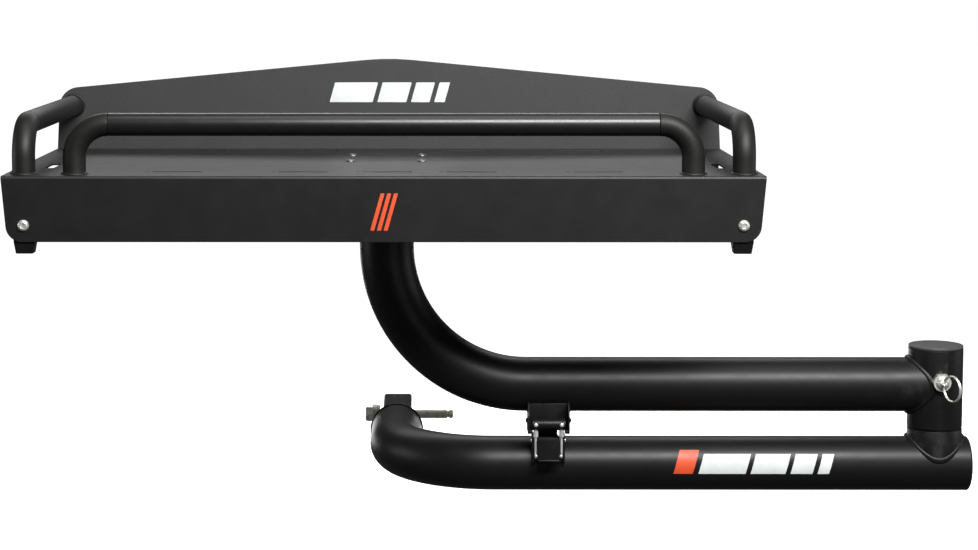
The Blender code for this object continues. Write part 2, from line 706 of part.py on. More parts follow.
def latch_base():
    half, ear = 26.9 * MM, 3.5 * MM
    slot_half = half - ear
    front, bridge, back = -470 * MM, -454 * MM, -440 * MM
    bridge_top, top = 38 * MM, 58 * MM
    base = box("latch_base", (LATCH_X - half, front, 10 * MM), (LATCH_X + half, back, top),
               POWDER_COAT)
    far = 90 * MM
    tube_axis = Vector((LATCH_X, ARM_Y, 0))
    cut(base,
        box("handle_slot_cutter", (LATCH_X - slot_half, front - far, 0),
            (LATCH_X + slot_half, bridge, far)),
        box("window_cutter", (LATCH_X - slot_half, bridge - 5 * MM, bridge_top),
            (LATCH_X + slot_half, back + far, far)),
        rod("base_saddle_cutter", *across(tube_axis, far), ARM_RADIUS + GAP, sides=ARM_SIDES * 2),
        rod("base_pin_cutter", *across(HANDLE_PIVOT, far), PIVOT_BORE, sides=12))
    rod("latch_pivot_pin", *across(HANDLE_PIVOT, half + 1.8 * MM), PIVOT_BORE - GAP, ZINC, 12)


def latch_handle(empty):
    """A hinged lever with a barrel for its own pin, one for the bail, and a finger lip."""
    skin = HANDLE_HALF - 0.4 * MM
    low, high = 16 * MM, 54 * MM
    front, back = -480 * MM, -475.4 * MM
    handle = box("latch_handle", (LATCH_X - skin, front, low), (LATCH_X + skin, back, high),
                 POWDER_COAT)
    web_half = HANDLE_HALF - 0.8 * MM
    web = HANDLE_PIVOT.z - 4 * MM
    fuse(handle, box("handle_web", (LATCH_X - web_half, front + MM, web),
                     (LATCH_X + web_half, HANDLE_PIVOT.y, web + 8 * MM)))
    barrels = (("upper", HANDLE_PIVOT, 5.5 * MM, PIVOT_BORE),
               ("lower", BAIL_PIVOT, 4.4 * MM, BAIL_WIRE + 0.3 * MM))
    for name, axis, radius, _ in barrels:
        fuse(handle, rod(f"{name}_barrel", *across(axis, HANDLE_HALF), radius))
    for name, axis, _, bore in barrels:
        cut(handle, rod(f"{name}_bore_cutter", *across(axis, 2 * HANDLE_HALF), bore, sides=12))
    lip_half = HANDLE_HALF - 1.2 * MM
    fuse(handle, box("handle_lip", (LATCH_X - lip_half, front - 6 * MM, low + 0.2 * MM),
                     (LATCH_X + lip_half, front + MM, low + 4 * MM)))
    hang_on(empty, handle)


def latch_bail(empty):
    """Two rods and a crossbar that the handle pulls down onto the keepers."""
    crossbar = Vector((LATCH_X, BAIL_PIVOT.y, CROSSBAR_Z))
    bail = rod("latch_bail", *across(crossbar, CROSSBAR_HALF), CROSSBAR_RADIUS, POWDER_COAT)
    for name, side in (("left", -1), ("right", 1)):
        shift = X * side * BAIL_SPREAD
        fuse(bail, rod(f"bail_rod_{name}", BAIL_PIVOT + shift - Z * BAIL_WIRE, crossbar + shift,
                       BAIL_WIRE, sides=12))
    fuse(bail, rod("bail_pin", *across(BAIL_PIVOT, BAIL_SPREAD), BAIL_WIRE - 0.1 * MM, sides=12))
    hang_on(empty, bail)


def latch_keepers(swing):
    """Two cheeks under the upper arm with pegs that the crossbar rests on."""
    low = 61 * MM
    front, back = BAIL_PIVOT.y - 10 * MM, -434 * MM
    outer = KEEPER_INNER + KEEPER_SHEET
    peg_top = CROSSBAR_Z - CROSSBAR_RADIUS - 0.4 * MM
    tube_axis = Vector((LATCH_X, ARM_Y, UPPER_Z))
    for name, side in (("left", -1), ("right", 1)):
        def span(first, second, side=side):
            return sorted((LATCH_X + side * first, LATCH_X + side * second))
        x0, x1 = span(KEEPER_INNER, outer)
        keeper = box(f"latch_keeper_{name}", (x0, front, low), (x1, back, 112 * MM), POWDER_COAT)
        cut(keeper, rod(f"keeper_saddle_{name}", *across(tube_axis, 60 * MM), ARM_RADIUS + GAP,
                        sides=ARM_SIDES * 2))
        x0, x1 = span(PEG_INNER, KEEPER_INNER + MM)
        fuse(keeper, box(f"keeper_peg_{name}", (x0, front + 3 * MM, low + 0.5 * MM),
                         (x1, front + 17 * MM, peg_top)))
        knob = Vector((LATCH_X + side * (outer - MM), -465 * MM, 81 * MM))
        fuse(keeper, rod(f"keeper_rivet_{name}", knob, knob + X * side * 5 * MM, 4.5 * MM, sides=12))
        hang_on(swing, keeper)


# ---------------------------------------------------------------- hitch pin

def hitch_pin(empty):
    head_low, flange_low, flange_top = -58.6 * MM, -46 * MM, -36.3 * MM
    tip = 101.7 * MM
    groove_low, groove_high, groove = 90 * MM, 94.5 * MM, 6 * MM
    chamfer = 2 * MM
    profile = [(0, tip), (PIN_RADIUS - chamfer, tip), (PIN_RADIUS, tip - chamfer),
               (PIN_RADIUS, groove_high), (groove, groove_high), (groove, groove_low),
               (PIN_RADIUS, groove_low), (PIN_RADIUS, flange_top), (PIN_FLANGE, flange_top),
               (PIN_FLANGE, flange_low), (0, flange_low)]
    pin = turned("hitch_pin", profile, (0, 0, 0), X, PIN_STEEL)
    fuse(pin, rod("pin_hex_head", (head_low, 0, 0), (flange_low + MM, 0, 0), 14 * MM, sides=6))
    washer = ring("hitch_pin_washer", PIN_FLANGE, PIN_HOLE, flange_top + GAP, flange_top + 4 * MM,
                  (0, 0, 0), X, PIN_STEEL)
    hang_on(empty, pin, washer)


def main():
    swing = joint_empty("arm_swing_axis", POST)
    lower_arm()
    arm_rest()
    pivot_post(swing)
    lock_pin(joint_empty("lock_pin_axis", (POST.x, POST.y, LOCK_Z)),
             joint_empty("lock_ring_axis", RING_EYE))
    upper_arm(swing)
    tray(swing)
    rails(swing)
    feet(swing)
    latch_base()
    latch_handle(joint_empty("latch_handle_axis", HANDLE_PIVOT))
    latch_bail(joint_empty("latch_bail_axis", BAIL_PIVOT))
    latch_keepers(swing)
    hitch_pin(joint_empty("hitch_pin_axis", (0, 0, 0)))
    for obj in CUTTERS.objects:
        obj.hide_viewport = True


main()
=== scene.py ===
"""Hitch cargo carrier: the visible pieces, their finishes, the studio and the camera.

Lengths are in millimetres; loft(), block(), flat() and remap() turn them into metres.
World frame: the origin is the centre of the hitch pin hole, +X right, +Y towards the vehicle.
"""
import json
import math

import bmesh
import bpy
import numpy as np
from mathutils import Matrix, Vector


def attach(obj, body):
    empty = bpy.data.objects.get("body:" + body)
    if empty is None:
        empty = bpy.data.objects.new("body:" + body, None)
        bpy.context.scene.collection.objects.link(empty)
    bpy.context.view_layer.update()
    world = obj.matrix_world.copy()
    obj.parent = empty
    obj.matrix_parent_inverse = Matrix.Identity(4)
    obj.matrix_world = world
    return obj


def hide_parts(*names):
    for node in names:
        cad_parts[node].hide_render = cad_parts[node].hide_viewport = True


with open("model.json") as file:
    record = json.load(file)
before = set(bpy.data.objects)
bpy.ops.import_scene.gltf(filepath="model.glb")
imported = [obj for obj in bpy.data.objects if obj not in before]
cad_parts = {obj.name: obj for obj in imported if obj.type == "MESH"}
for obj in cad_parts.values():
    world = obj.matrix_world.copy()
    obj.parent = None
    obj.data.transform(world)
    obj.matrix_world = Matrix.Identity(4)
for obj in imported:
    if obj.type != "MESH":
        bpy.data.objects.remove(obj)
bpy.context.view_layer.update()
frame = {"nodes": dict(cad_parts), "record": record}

MM = 0.001
X, Y, Z = np.eye(3)
SIDES = (("left", -1), ("right", 1))

GAP = 0.3                  # between pieces that rest on each other

# Shank
SHANK_HALF, SHANK_WALL = 25.4, 6.35
SHANK_BACK, SHANK_TIP = -185.0, 64.0
RING_BACK, RING_PLATE = -141.0, 8.0      # the plate that closes the lower arm round the shank
PIN_HOLE = 8.4

# Arms
ARM_R = 44.45
ARM_SIDES = 72
ARM_Y = -414.0
LOWER_BEND, UPPER_BEND = 165.0, 228.0
UPPER_Z = 131.5
LOWER_END = 943.0
RISER_HALF, RISER_BOLTS, RISER_PLATE = 75.0, 57.15, 7.7
SADDLE_LOW = 0.29          # height of a saddle weld's lowest point, as a share of the radius

# Pivot
POST = np.array((888.0, ARM_Y, 0.0))
SPLIT_Z, SLEEVE_LOW, SLEEVE_TOP, CAP_TOP = 60.0, 62.6, 193.0, 197.6
LOCK_Z = 143.0
RING_EYE = np.array((888.0, -479.0, LOCK_Z))
RING_R = 20.5

# Tray
TRAY_X, TRAY_HALF = -13.0, 571.75
TRAY_FRONT, TRAY_BACK = -731.0, -197.0
DECK_TOP, APRON_BOTTOM, END_BOTTOM = 503.0, 403.5, 483.0
SHEET = 3.0
FOLD = 4.5                 # outer radius of the folds
FOLD_LENGTH = FOLD * math.pi / 2
FOLD_Z = DECK_TOP - FOLD
TAPER = math.tan(math.radians(4.8))
SLOT_ROWS, SLOT_PLACES = (-657, -245), (-321, -128, 0, 128, 321)
PANEL_LOW, SHOULDER_Z, PEAK_Z = 411.0, 606.0, 659.6
PANEL_REAR = TRAY_BACK + GAP + SHEET
PANEL_BOLT_X, PANEL_BOLT_Z = 200.0, 455.0

# Rails
RAIL_R, RAIL_Z, RAIL_Y, RAIL_BEND = 17.5, 577.5, -694.0, 50.5
FRONT_HALF, SIDE_HALF = 466.5, 543.0
RAIL_SEAM, SEAM_EASE = 52.0, 0.35        # from a corner to the end of its bend

# Feet
FOOT_X, FOOT_BOLT_Z = 538.5, 428.6

# Latch
LATCH_X = 250.0
HANDLE_AXIS = np.array((250.0, -464.0, 48.0))
BAIL_AXIS = np.array((250.0, -474.0, 24.0))
CROSSBAR_R, CROSSBAR_Z, ROD_X = 9.0, 76.5, 20.9

# Printed marks
LEAN, FILM = 0.28, 0.14


def placed(name, data):
    """A new object of this data, in the scene."""
    obj = bpy.data.objects.new(name, data)
    bpy.context.scene.collection.objects.link(obj)
    return obj


# ---- camera

def add_camera():
    data = bpy.data.cameras.new("camera")
    camera = placed("camera", data)
    camera.location = (0.0460, -4.0899, 0.8040)
    yaw, pitch = math.radians(-0.202), math.radians(5.149)
    aim = Vector((math.sin(yaw) * math.cos(pitch), math.cos(yaw) * math.cos(pitch),
                  -math.sin(pitch)))
    camera.rotation_euler = aim.to_track_quat("-Z", "Y").to_euler()
    data.sensor_width = 36
    data.lens = 83.256
    data.shift_x, data.shift_y = 0.0757, -0.1
    bpy.context.scene.camera = camera


add_camera()


# ---- materials

class Finish:
    """A Principled material whose sockets are fed by textures in object coordinates."""

    def __init__(self, name, **settings):
        self.material = bpy.data.materials.new(name)
        self.material.use_nodes = True
        self.tree = self.material.node_tree
        self.shader = self.tree.nodes["Principled BSDF"]
        for socket, value in settings.items():
            self.shader.inputs[socket.replace("_", " ")].default_value = value
        self.space = self.add("ShaderNodeTexCoord").outputs["Object"]

    def add(self, kind, **inputs):
        made = self.tree.nodes.new(kind)
        for socket, value in inputs.items():
            self.put(made.inputs[socket.replace("_", " ")], value)
        return made

    def put(self, socket, value):
        if isinstance(value, bpy.types.NodeSocket):
            self.tree.links.new(value, socket)
        else:
            socket.default_value = value

    def noise(self, scale, detail=2.0, rough=0.5, space=None):
        made = self.add("ShaderNodeTexNoise", Vector=space or self.space, Scale=scale,
                        Detail=detail, Roughness=rough)
        return made.outputs["Fac"]

    def cells(self, scale):
        made = self.add("ShaderNodeTexVoronoi", Vector=self.space, Scale=scale)
        return made.outputs["Distance"]

    def stretched(self, scale):
        return self.add("ShaderNodeMapping", Vector=self.space, Scale=scale).outputs["Vector"]

    def ramp(self, value, low, high, start=0.0, end=1.0):
        """Map a value from start..end to low..high, numbers or colours."""
        if isinstance(low, tuple):
            made = self.tree.nodes.new("ShaderNodeValToRGB")
            made.color_ramp.elements[0].position = start
            made.color_ramp.elements[1].position = end
            made.color_ramp.elements[0].color = (*low, 1)
            made.color_ramp.elements[1].color = (*high, 1)
            self.put(made.inputs["Fac"], value)
            return made.outputs["Color"]
        made = self.add("ShaderNodeMapRange", Value=value)
        for socket, number in (("From Min", start), ("From Max", end), ("To Min", low),
                               ("To Max", high)):
            made.inputs[socket].default_value = number
        return made.outputs["Result"]

    def mix(self, amount, first, second):
        made = self.tree.nodes.new("ShaderNodeMix")
        made.data_type = "RGBA"
        self.put(made.inputs["Factor"], amount)
        for socket, value in ((made.inputs[6], first), (made.inputs[7], second)):
            self.put(socket, value if isinstance(value, bpy.types.NodeSocket) else (*value, 1))
        return made.outputs[2]

    def maths(self, operation, first, second=0.0):
        made = self.tree.nodes.new("ShaderNodeMath")
        made.operation = operation
        self.put(made.inputs[0], first)
        self.put(made.inputs[1], second)
        return made.outputs[0]

    def bump(self, height, strength, distance, onto=None):
        made = self.add("ShaderNodeBump", Height=height, Strength=strength, Distance=distance)
        if onto is not None:
            self.put(made.inputs["Normal"], onto)
        return made.outputs["Normal"]

    def feed(self, **sockets):
        for socket, value in sockets.items():
            self.put(self.shader.inputs[socket.replace("_", " ")], value)
        return self


def powder_coat(name, dark, light, rough, grain=0.16, scuffed=0.0, shine=0.25):
    """Semi-gloss black powder coat: fine orange peel, faint mottling, worn and dusty spots."""
    finish = Finish(name, Specular_IOR_Level=shine)
    speckle = finish.noise(520, 3.0, 0.65)
    mottle = finish.noise(7, 3.0)
    colour = finish.ramp(speckle, dark, light, 0.34, 0.72)
    dusty = tuple(min(1, 1.5 * value + 0.003) for value in light)
    colour = finish.mix(finish.ramp(mottle, 0.0, 0.06, 0.45, 0.75), colour, dusty)
    edges = finish.tree.nodes.new("ShaderNodeNewGeometry").outputs["Pointiness"]
    worn = finish.maths("MULTIPLY", finish.ramp(edges, 0.0, 0.5, 0.53, 0.62),
                        finish.ramp(finish.noise(60, 3.0), 0.0, 1.0, 0.45, 0.7))
    colour = finish.mix(worn, colour, (0.04, 0.04, 0.039))
    roughness = finish.ramp(finish.noise(35, 3.0), rough - 0.02, rough + 0.03, 0.3, 0.7)
    if scuffed:
        streaks = finish.noise(1.0, 4.0, 0.6, finish.stretched((90, 3.5, 90)))
        patches = finish.noise(14, 2.0)
        bare = finish.maths("MULTIPLY", finish.ramp(streaks, 0.0, 1.0, 0.56, 0.66),
                            finish.ramp(patches, 0.0, scuffed, 0.42, 0.6))
        colour = finish.mix(bare, colour, (0.32, 0.31, 0.3))
        finish.feed(Metallic=finish.ramp(bare, 0.0, 0.85))
    peel = finish.bump(finish.noise(900, 1.5), grain, 0.0004)
    normal = finish.bump(finish.noise(2600, 1.0), grain * 0.8, 0.0002, peel)
    return finish.feed(Base_Color=colour, Roughness=roughness, Normal=normal).material


def plated(name, low, high, rough, stained=0.4, metallic=1.0):
    """Bright zinc or steel: fine turning marks, cloudy plating and darker stains."""
    finish = Finish(name, Metallic=metallic)
    cloud = finish.noise(70, 4.0, 0.6)
    colour = finish.ramp(cloud, low, high, 0.3, 0.7)
    stain = finish.ramp(finish.cells(140), 0.0, stained, 0.45, 0.8)
    colour = finish.mix(stain, colour, tuple(0.6 * value for value in low))
    roughness = finish.ramp(finish.noise(180, 3.0), 0.75 * rough, 1.4 * rough, 0.3, 0.7)
    normal = finish.bump(finish.noise(1500, 2.0), 0.06, 0.0002)
    return finish.feed(Base_Color=colour, Roughness=roughness, Normal=normal).material


def rubbery(name):
    finish = Finish(name, Specular_IOR_Level=0.15)
    colour = finish.ramp(finish.noise(90, 4.0), (0.0015, 0.0015, 0.0015), (0.004, 0.004, 0.0038),
                         0.3, 0.7)
    roughness = finish.ramp(finish.noise(40, 2.0), 0.66, 0.86, 0.3, 0.7)
    normal = finish.bump(finish.noise(700, 3.0), 0.3, 0.0004)
    return finish.feed(Base_Color=colour, Roughness=roughness, Normal=normal).material


def vinyl(name, colour):
    """Bright printed film: a little uneven, with the coat's grain showing through."""
    finish = Finish(name, Specular_IOR_Level=0.4)
    shade = tuple(0.9 * value for value in colour)
    tone = finish.ramp(finish.noise(45, 3.0), shade, colour, 0.3, 0.62)
    roughness = finish.ramp(finish.noise(160, 2.0), 0.38, 0.52, 0.3, 0.7)
    normal = finish.bump(finish.noise(800, 2.0), 0.1, 0.0003)
    return finish.feed(Base_Color=tone, Roughness=roughness, Normal=normal).material


BLACK = powder_coat("powder_coat_black", (0.0034, 0.0034, 0.0035), (0.0074, 0.0074, 0.0075), 0.4,
                    grain=0.08, shine=0.23)
SHEETS = powder_coat("powder_coat_sheet", (0.0035, 0.0035, 0.0037), (0.0075, 0.0075, 0.0077), 0.44,
                     grain=0.1, shine=0.36)
# a lighter copy of the black powder coat for the back panel: painted light, the grey of its sheen
# put into its colour
PANEL_COAT_PAINTED_LIGHT = powder_coat("powder_coat_panel_painted_light", (0.019, 0.0195, 0.0193), (0.03, 0.031, 0.0305), 0.5,
                    shine=0.5)
# a lighter copy of the black powder coat for the pivot cap: painted light on its top
CAP_COAT_PAINTED_LIGHT = powder_coat("powder_coat_cap_painted_light", (0.036, 0.036, 0.036), (0.056, 0.056, 0.056), 0.5, shine=0.5)
SATIN = powder_coat("powder_coat_satin_bar", (0.0035, 0.0035, 0.0035), (0.007, 0.007, 0.007), 0.34,
                    grain=0.02, shine=0.5)
MATT = powder_coat("powder_coat_matt_elbow", (0.0046, 0.0044, 0.004), (0.0095, 0.0089, 0.0082),
                   0.5, grain=0.1, shine=0.28)
SHANK = powder_coat("powder_coat_scuffed", (0.004, 0.004, 0.004), (0.009, 0.009, 0.009), 0.6,
                    scuffed=0.35, shine=0.2)
ZINC = plated("bright_zinc", (0.76, 0.77, 0.71), (0.92, 0.93, 0.86), 0.27, stained=0.1,
              metallic=0.8)
DULL = plated("dull_zinc", (0.16, 0.155, 0.13), (0.26, 0.25, 0.21), 0.45)
STEEL = plated("brushed_steel", (0.6, 0.6, 0.59), (0.8, 0.8, 0.79), 0.3, stained=0.2, metallic=0.6)
# khaki plating colour, made extra pale and diffuse: painted light on the hitch pin, which sits in
# the tray's shadow
PIN_PLATE_PAINTED_LIGHT = plated("khaki_plate_with_painted_light", (0.78, 0.76, 0.65), (0.9, 0.88, 0.77), 0.42, metallic=0.35)
# bronze darkened almost to black: painted shade of the split between the pivot stub and the sleeve
BRONZE_PAINTED_SHADE = plated("bronze_painted_shade", (0.02, 0.014, 0.009), (0.05, 0.032, 0.017), 0.45)
RUBBER = rubbery("black_rubber")
WHITE = vinyl("white_print", (0.6, 0.625, 0.615))
ORANGE = vinyl("orange_print", (0.6, 0.07, 0.02))

# CAD nodes that stay visible take the finish of their slot
SLOT_FINISH = {"powder_coat": BLACK, "rubber": RUBBER, "zinc": ZINC, "pin_steel": PIN_PLATE_PAINTED_LIGHT,
               "bronze": BRONZE_PAINTED_SHADE, "machined_steel": STEEL}
for subpart in frame["record"]["subparts"]:
    node_object = frame["nodes"].get(subpart["node"])
    if node_object is not None:
        for material_slot in node_object.material_slots:
            material_slot.material = SLOT_FINISH[subpart["material_slot"]]


# ---- mesh helpers

def unit(vectors):
    return vectors / np.linalg.norm(vectors, axis=-1, keepdims=True)


def spun(angles, u, v):
    """Directions at these angles from u towards v."""
    return np.cos(angles)[:, None] * u + np.sin(angles)[:, None] * v


def full_turn(count):
    return np.linspace(0, math.tau, count, endpoint=False)


def keep(work, name, finish, crisp=32, even=False):
    """Turn a bmesh in metres into a shaded object; even gives flat faces flat shading."""
    bmesh.ops.remove_doubles(work, verts=work.verts, dist=2e-6)
    bmesh.ops.dissolve_degenerate(work, edges=work.edges, dist=1e-6)
    bmesh.ops.recalc_face_normals(work, faces=work.faces)
    mesh = bpy.data.meshes.new(name)
    work.to_mesh(mesh)
    work.free()
    mesh.shade_smooth()
    mesh.set_sharp_from_angle(angle=math.radians(crisp))
    obj = placed(name, mesh)
    mesh.materials.append(finish)
    if even:
        weighted = obj.modifiers.new("even", "WEIGHTED_NORMAL")
        weighted.keep_sharp = True
        weighted.weight = 80
    return obj


def loft(rows, wrap=False):
    """A bmesh skin over rings of equal point counts; wrap joins the last ring to the first."""
    work = bmesh.new()
    count = len(rows[0])
    rings = [[work.verts.new(Vector(point) * MM) for point in row] for row in rows]
    pairs = list(zip(rings, rings[1:]))
    if wrap:
        pairs.append((rings[-1], rings[0]))
    for lower, upper in pairs:
        for index in range(count):
            after = (index + 1) % count
            work.faces.new((lower[index], lower[after], upper[after], upper[index]))
    if not wrap:
        for ring, row in ((rings[0][::-1], rows[0]), (rings[-1], rows[-1])):
            if np.ptp(np.asarray(row), axis=0).max() > 0.01:
                work.faces.new(ring)
    return work


def merge(*works):
    """One bmesh from several."""
    whole = bmesh.new()
    for work in works:
        mesh = bpy.data.meshes.new("part")
        work.to_mesh(mesh)
        work.free()
        whole.from_mesh(mesh)
        bpy.data.meshes.remove(mesh)
    return whole


def bent(corners, radius, step=3.0):
    """Points along straight lines through corners, with arcs of one radius in the corners."""
    corners = [np.asarray(corner, float) for corner in corners]
    points = [corners[0]]
    for before, corner, after in zip(corners, corners[1:], corners[2:]):
        u, v = unit(before - corner), unit(after - corner)
        half = math.acos(np.clip(u @ v, -1, 1)) / 2
        centre = corner + unit(u + v) * radius / math.sin(half)
        first = corner + u * radius / math.tan(half) - centre
        side = corner + v * radius / math.tan(half) - centre
        turn = math.acos(np.clip(first @ side / radius ** 2, -1, 1))
        across = side - first * (first @ side) / radius ** 2
        across = radius * unit(across)
        steps = max(2, math.ceil(math.degrees(turn) / step))
        for number in range(steps + 1):
            angle = turn * number / steps
            points.append(centre + math.cos(angle) * first + math.sin(angle) * across)
    points.append(corners[-1])
    return np.array(points)


def rings_along(path, radius, normal, count=ARM_SIDES):
    """Rings square to a flat path whose plane has this normal."""
    side = np.cross(unit(np.gradient(path, axis=0)), normal)
    return [point + radius * spun(full_turn(count), normal, across)
            for point, across in zip(path, side)]


def eased(profile, radius=0.8, steps=4, loop=False):
    """Round every corner of a profile a little."""
    points = [tuple(point) for point in profile]
    made = []
    count = len(points)
    for index, point in enumerate(points):
        if not loop and index in (0, count - 1):
            made.append(point)
            continue
        here = np.array(point)
        arms = [np.array(points[index - 1]) - here, np.array(points[(index + 1) % count]) - here]
        lengths = [np.linalg.norm(arm[:2]) for arm in arms]
        if min(lengths) < 1e-6:
            made.append(point)
            continue
        start, end = (here + arm / length * min(radius, 0.45 * length)
                      for arm, length in zip(arms, lengths))
        for number in range(steps + 1):
            t = number / steps
            spot = (1 - t) ** 2 * start + 2 * t * (1 - t) * here + t ** 2 * end
            spot[2:] = here[2:]
            made.append(tuple(spot))
    return made


def square_to(axis):
    """The axis as a unit vector, and two more that are square to it and each other."""
    axis = unit(np.asarray(axis, float))
    u = unit(np.cross(Z if abs(axis[2]) < 0.9 else X, axis))
    return axis, u, np.cross(axis, u)


def turned(profile, base, axis, count=48, loop=False):
    """A turned bmesh. Profile points are (radius, height) or (radius, height, hexagonal 0..1)."""
    axis, u, v = square_to(axis)
    angles = full_turn(count)
    folded = np.mod(angles, math.pi / 3) - math.pi / 6
    six = math.cos(math.pi / 6) / np.cos(folded)
    rows = []
    for point in profile:
        radius, height = point[:2]
        share = point[2] if len(point) > 2 else 0
        radii = radius * (1 - share + share * six)
        rows.append(np.asarray(base) + height * axis + radii[:, None] * spun(angles, u, v))
    return loft(rows, wrap=loop)


def rod(radius, low, high, base, axis, count=24, edge=0.0, steps=3):
    """A cylinder from low to high along its axis, its edges rounded if edge is given."""
    profile = [(0, low), (radius, low), (radius, high), (0, high)]
    return turned(eased(profile, edge, steps) if edge else profile, base, axis, count)


def band(inner, outer, low, high, base, axis, edge=0.35, steps=3, count=48):
    """A washer or sleeve from low to high along its axis, with rounded edges."""
    profile = [(inner, low), (outer, low), (outer, high), (inner, high)]
    return turned(eased(profile, edge, steps, loop=True), base, axis, count, loop=True)


def block(low, high, edge=1.0, segments=3):
    """A box with rounded edges."""
    low, high = np.asarray(low, float), np.asarray(high, float)
    work = bmesh.new()
    bmesh.ops.create_cube(work, size=1)
    bmesh.ops.scale(work, verts=work.verts, vec=Vector((high - low) * MM))
    bmesh.ops.translate(work, verts=work.verts, vec=Vector((low + high) / 2 * MM))
    bmesh.ops.bevel(work, geom=list(work.edges), offset=edge * MM, segments=segments,
                    profile=0.5, affect="EDGES")
    return work


def rounded(corners, radii, step=10.0):
    """A closed flat outline with rounded corners."""
    made = []
    count = len(corners)
    for index in range(count):
        corner = np.array(corners[index], float)
        radius = radii[index] if hasattr(radii, "__len__") else radii
        if radius == 0:
            made.append(corner)
            continue
        u = np.array(corners[index - 1], float) - corner
        v = np.array(corners[(index + 1) % count], float) - corner
        made.extend(bent([corner + u, corner, corner + v], radius, step)[1:-1])
    return made


def circle(centre, radius, count=28):
    return [(centre[0] + radius * math.cos(math.tau * number / count),
             centre[1] + radius * math.sin(math.tau * number / count)) for number in range(count)]


def oblong(half_x, half_y, x=0.0, y=0.0):
    """Corners of a rectangle round a centre."""
    return [(x + sx * half_x, y + sy * half_y)
            for sx, sy in ((-1, -1), (1, -1), (1, 1), (-1, 1))]


def slot_hole(centre, size_x, size_y):
    """Outline of a slot with round ends."""
    corners = oblong(size_x / 2, size_y / 2, *centre)
    return rounded(corners, min(size_x, size_y) / 2 - 0.02, 15.0)


def flat(outline, holes=(), thickness=SHEET, edge=0.45):
    """A flat plate as a bmesh in its own plane, centred in thickness, with eased edges."""
    data = bpy.data.curves.new("flat", "CURVE")
    data.dimensions = "2D"
    data.fill_mode = "BOTH"
    data.extrude = (thickness / 2 - edge) * MM
    data.bevel_depth = edge * MM
    data.bevel_resolution = 1
    data.offset = -edge * MM
    for points in [outline, *holes]:
        spline = data.splines.new("POLY")
        spline.points.add(len(points) - 1)
        for target, point in zip(spline.points, points):
            target.co = (point[0] * MM, point[1] * MM, 0, 1)
        spline.use_cyclic_u = True
    curve = placed("flat", data)
    bpy.context.view_layer.update()
    graph = bpy.context.evaluated_depsgraph_get()
    mesh = bpy.data.meshes.new_from_object(curve.evaluated_get(graph))
    work = bmesh.new()
    work.from_mesh(mesh)
    bpy.data.objects.remove(curve)
    bpy.data.meshes.remove(mesh)
    bmesh.ops.remove_doubles(work, verts=work.verts, dist=2e-6)
    return work


def remap(work, where):
    """Move every vertex with a function of its place in millimetres."""
    for vertex in work.verts:
        vertex.co = Vector(where(*(vertex.co / MM))) * MM
    return work


def bored(obj, cutter):
    """Cut a turned tool out of a piece, for good."""
    tool = keep(cutter, "tool", ZINC)
    hole = obj.modifiers.new("hole", "BOOLEAN")
    hole.operation = "DIFFERENCE"
    hole.object = tool
    graph = bpy.context.evaluated_depsgraph_get()
    mesh = bpy.data.meshes.new_from_object(obj.evaluated_get(graph))
    obj.modifiers.remove(hole)
    old, obj.data = obj.data, mesh
    bpy.data.meshes.remove(old)
    bpy.data.objects.remove(tool)
    mesh.shade_smooth()
    mesh.set_sharp_from_angle(angle=math.radians(32))


def bead(centres, first, second, width, height, closed=True):
    """A weld bead: an ellipse swept along a line, with the small ripples of the weld pool.
    first and second are the directions of its width and height at each point."""
    ripple, pitch = 0.05, 3.4
    steps = np.linalg.norm(np.diff(centres, axis=0), axis=1)
    travel = np.concatenate([[0], np.cumsum(steps)])
    wave = 1 + ripple * np.sin(math.tau * travel / pitch)
    first = np.broadcast_to(first, centres.shape) * (width * wave)[:, None]
    second = np.broadcast_to(second, centres.shape) * (height * wave)[:, None]
    rows = [centre + spun(full_turn(14), f, s) for centre, f, s in zip(centres, first, second)]
    return loft(rows[:-1] if closed else rows, wrap=closed)


def ring_bead(centre, axis, radius, size, steps=150):
    """A bead round a tube that stands on a flat face."""
    axis, u, v = square_to(axis)
    out = spun(np.linspace(0, math.tau, steps + 1), u, v)
    return bead(np.asarray(centre) + radius * out, out, axis, size, size * 0.9)


def saddle_bead(origin, along, across):
    """The bead where an arm tube along 'along' meets one that runs along 'across'."""
    angles = np.linspace(0, math.tau, 261)
    out = spun(angles, across, np.cross(along, across))
    rise = ARM_R * (SADDLE_LOW + (1 - SADDLE_LOW) * np.cos(angles) ** 2)
    centres = origin + ARM_R * out + rise[:, None] * along
    tangent = np.gradient(centres, axis=0)
    tangent[0] = tangent[-1] = tangent[0] + tangent[-1]
    tangent = unit(tangent)
    upward = unit(np.cross(tangent, out))
    outward = np.cross(upward, tangent)
    steep = np.cos(angles) ** 2
    return bead(centres - 0.8 * out, upward, outward, 5.2 + 0.6 * steep, 2.6 + 2.6 * steep)


def piece(work, name, body, finish, nodes=(), crisp=32, even=False):
    """Keep a bmesh, put it on its body and hide the CAD nodes it stands for."""
    obj = work if isinstance(work, bpy.types.Object) else keep(work, name, finish, crisp, even)
    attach(obj, body)
    if nodes:
        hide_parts(*nodes)
    return obj


def coped(origin, along, across):
    """Rings that close the end of an arm tube against an equal tube, following its surface.
    The tube runs along 'along', away from the other, whose axis 'across' passes origin."""
    radius, reach = ARM_R, 1.5
    common = np.cross(along, across)
    angles = full_turn(ARM_SIDES)
    rows = []
    for share in (0.0, 0.3, 0.6, 0.8, 0.92, 1.0):
        sideways = share * radius * np.sin(angles)
        rise = np.maximum(np.sqrt(radius ** 2 - sideways ** 2) - reach, 0.2 * radius)
        rows.append(np.asarray(origin) + share * radius * np.cos(angles)[:, None] * across
                    + sideways[:, None] * common + rise[:, None] * along)
    return rows


# ---- fasteners

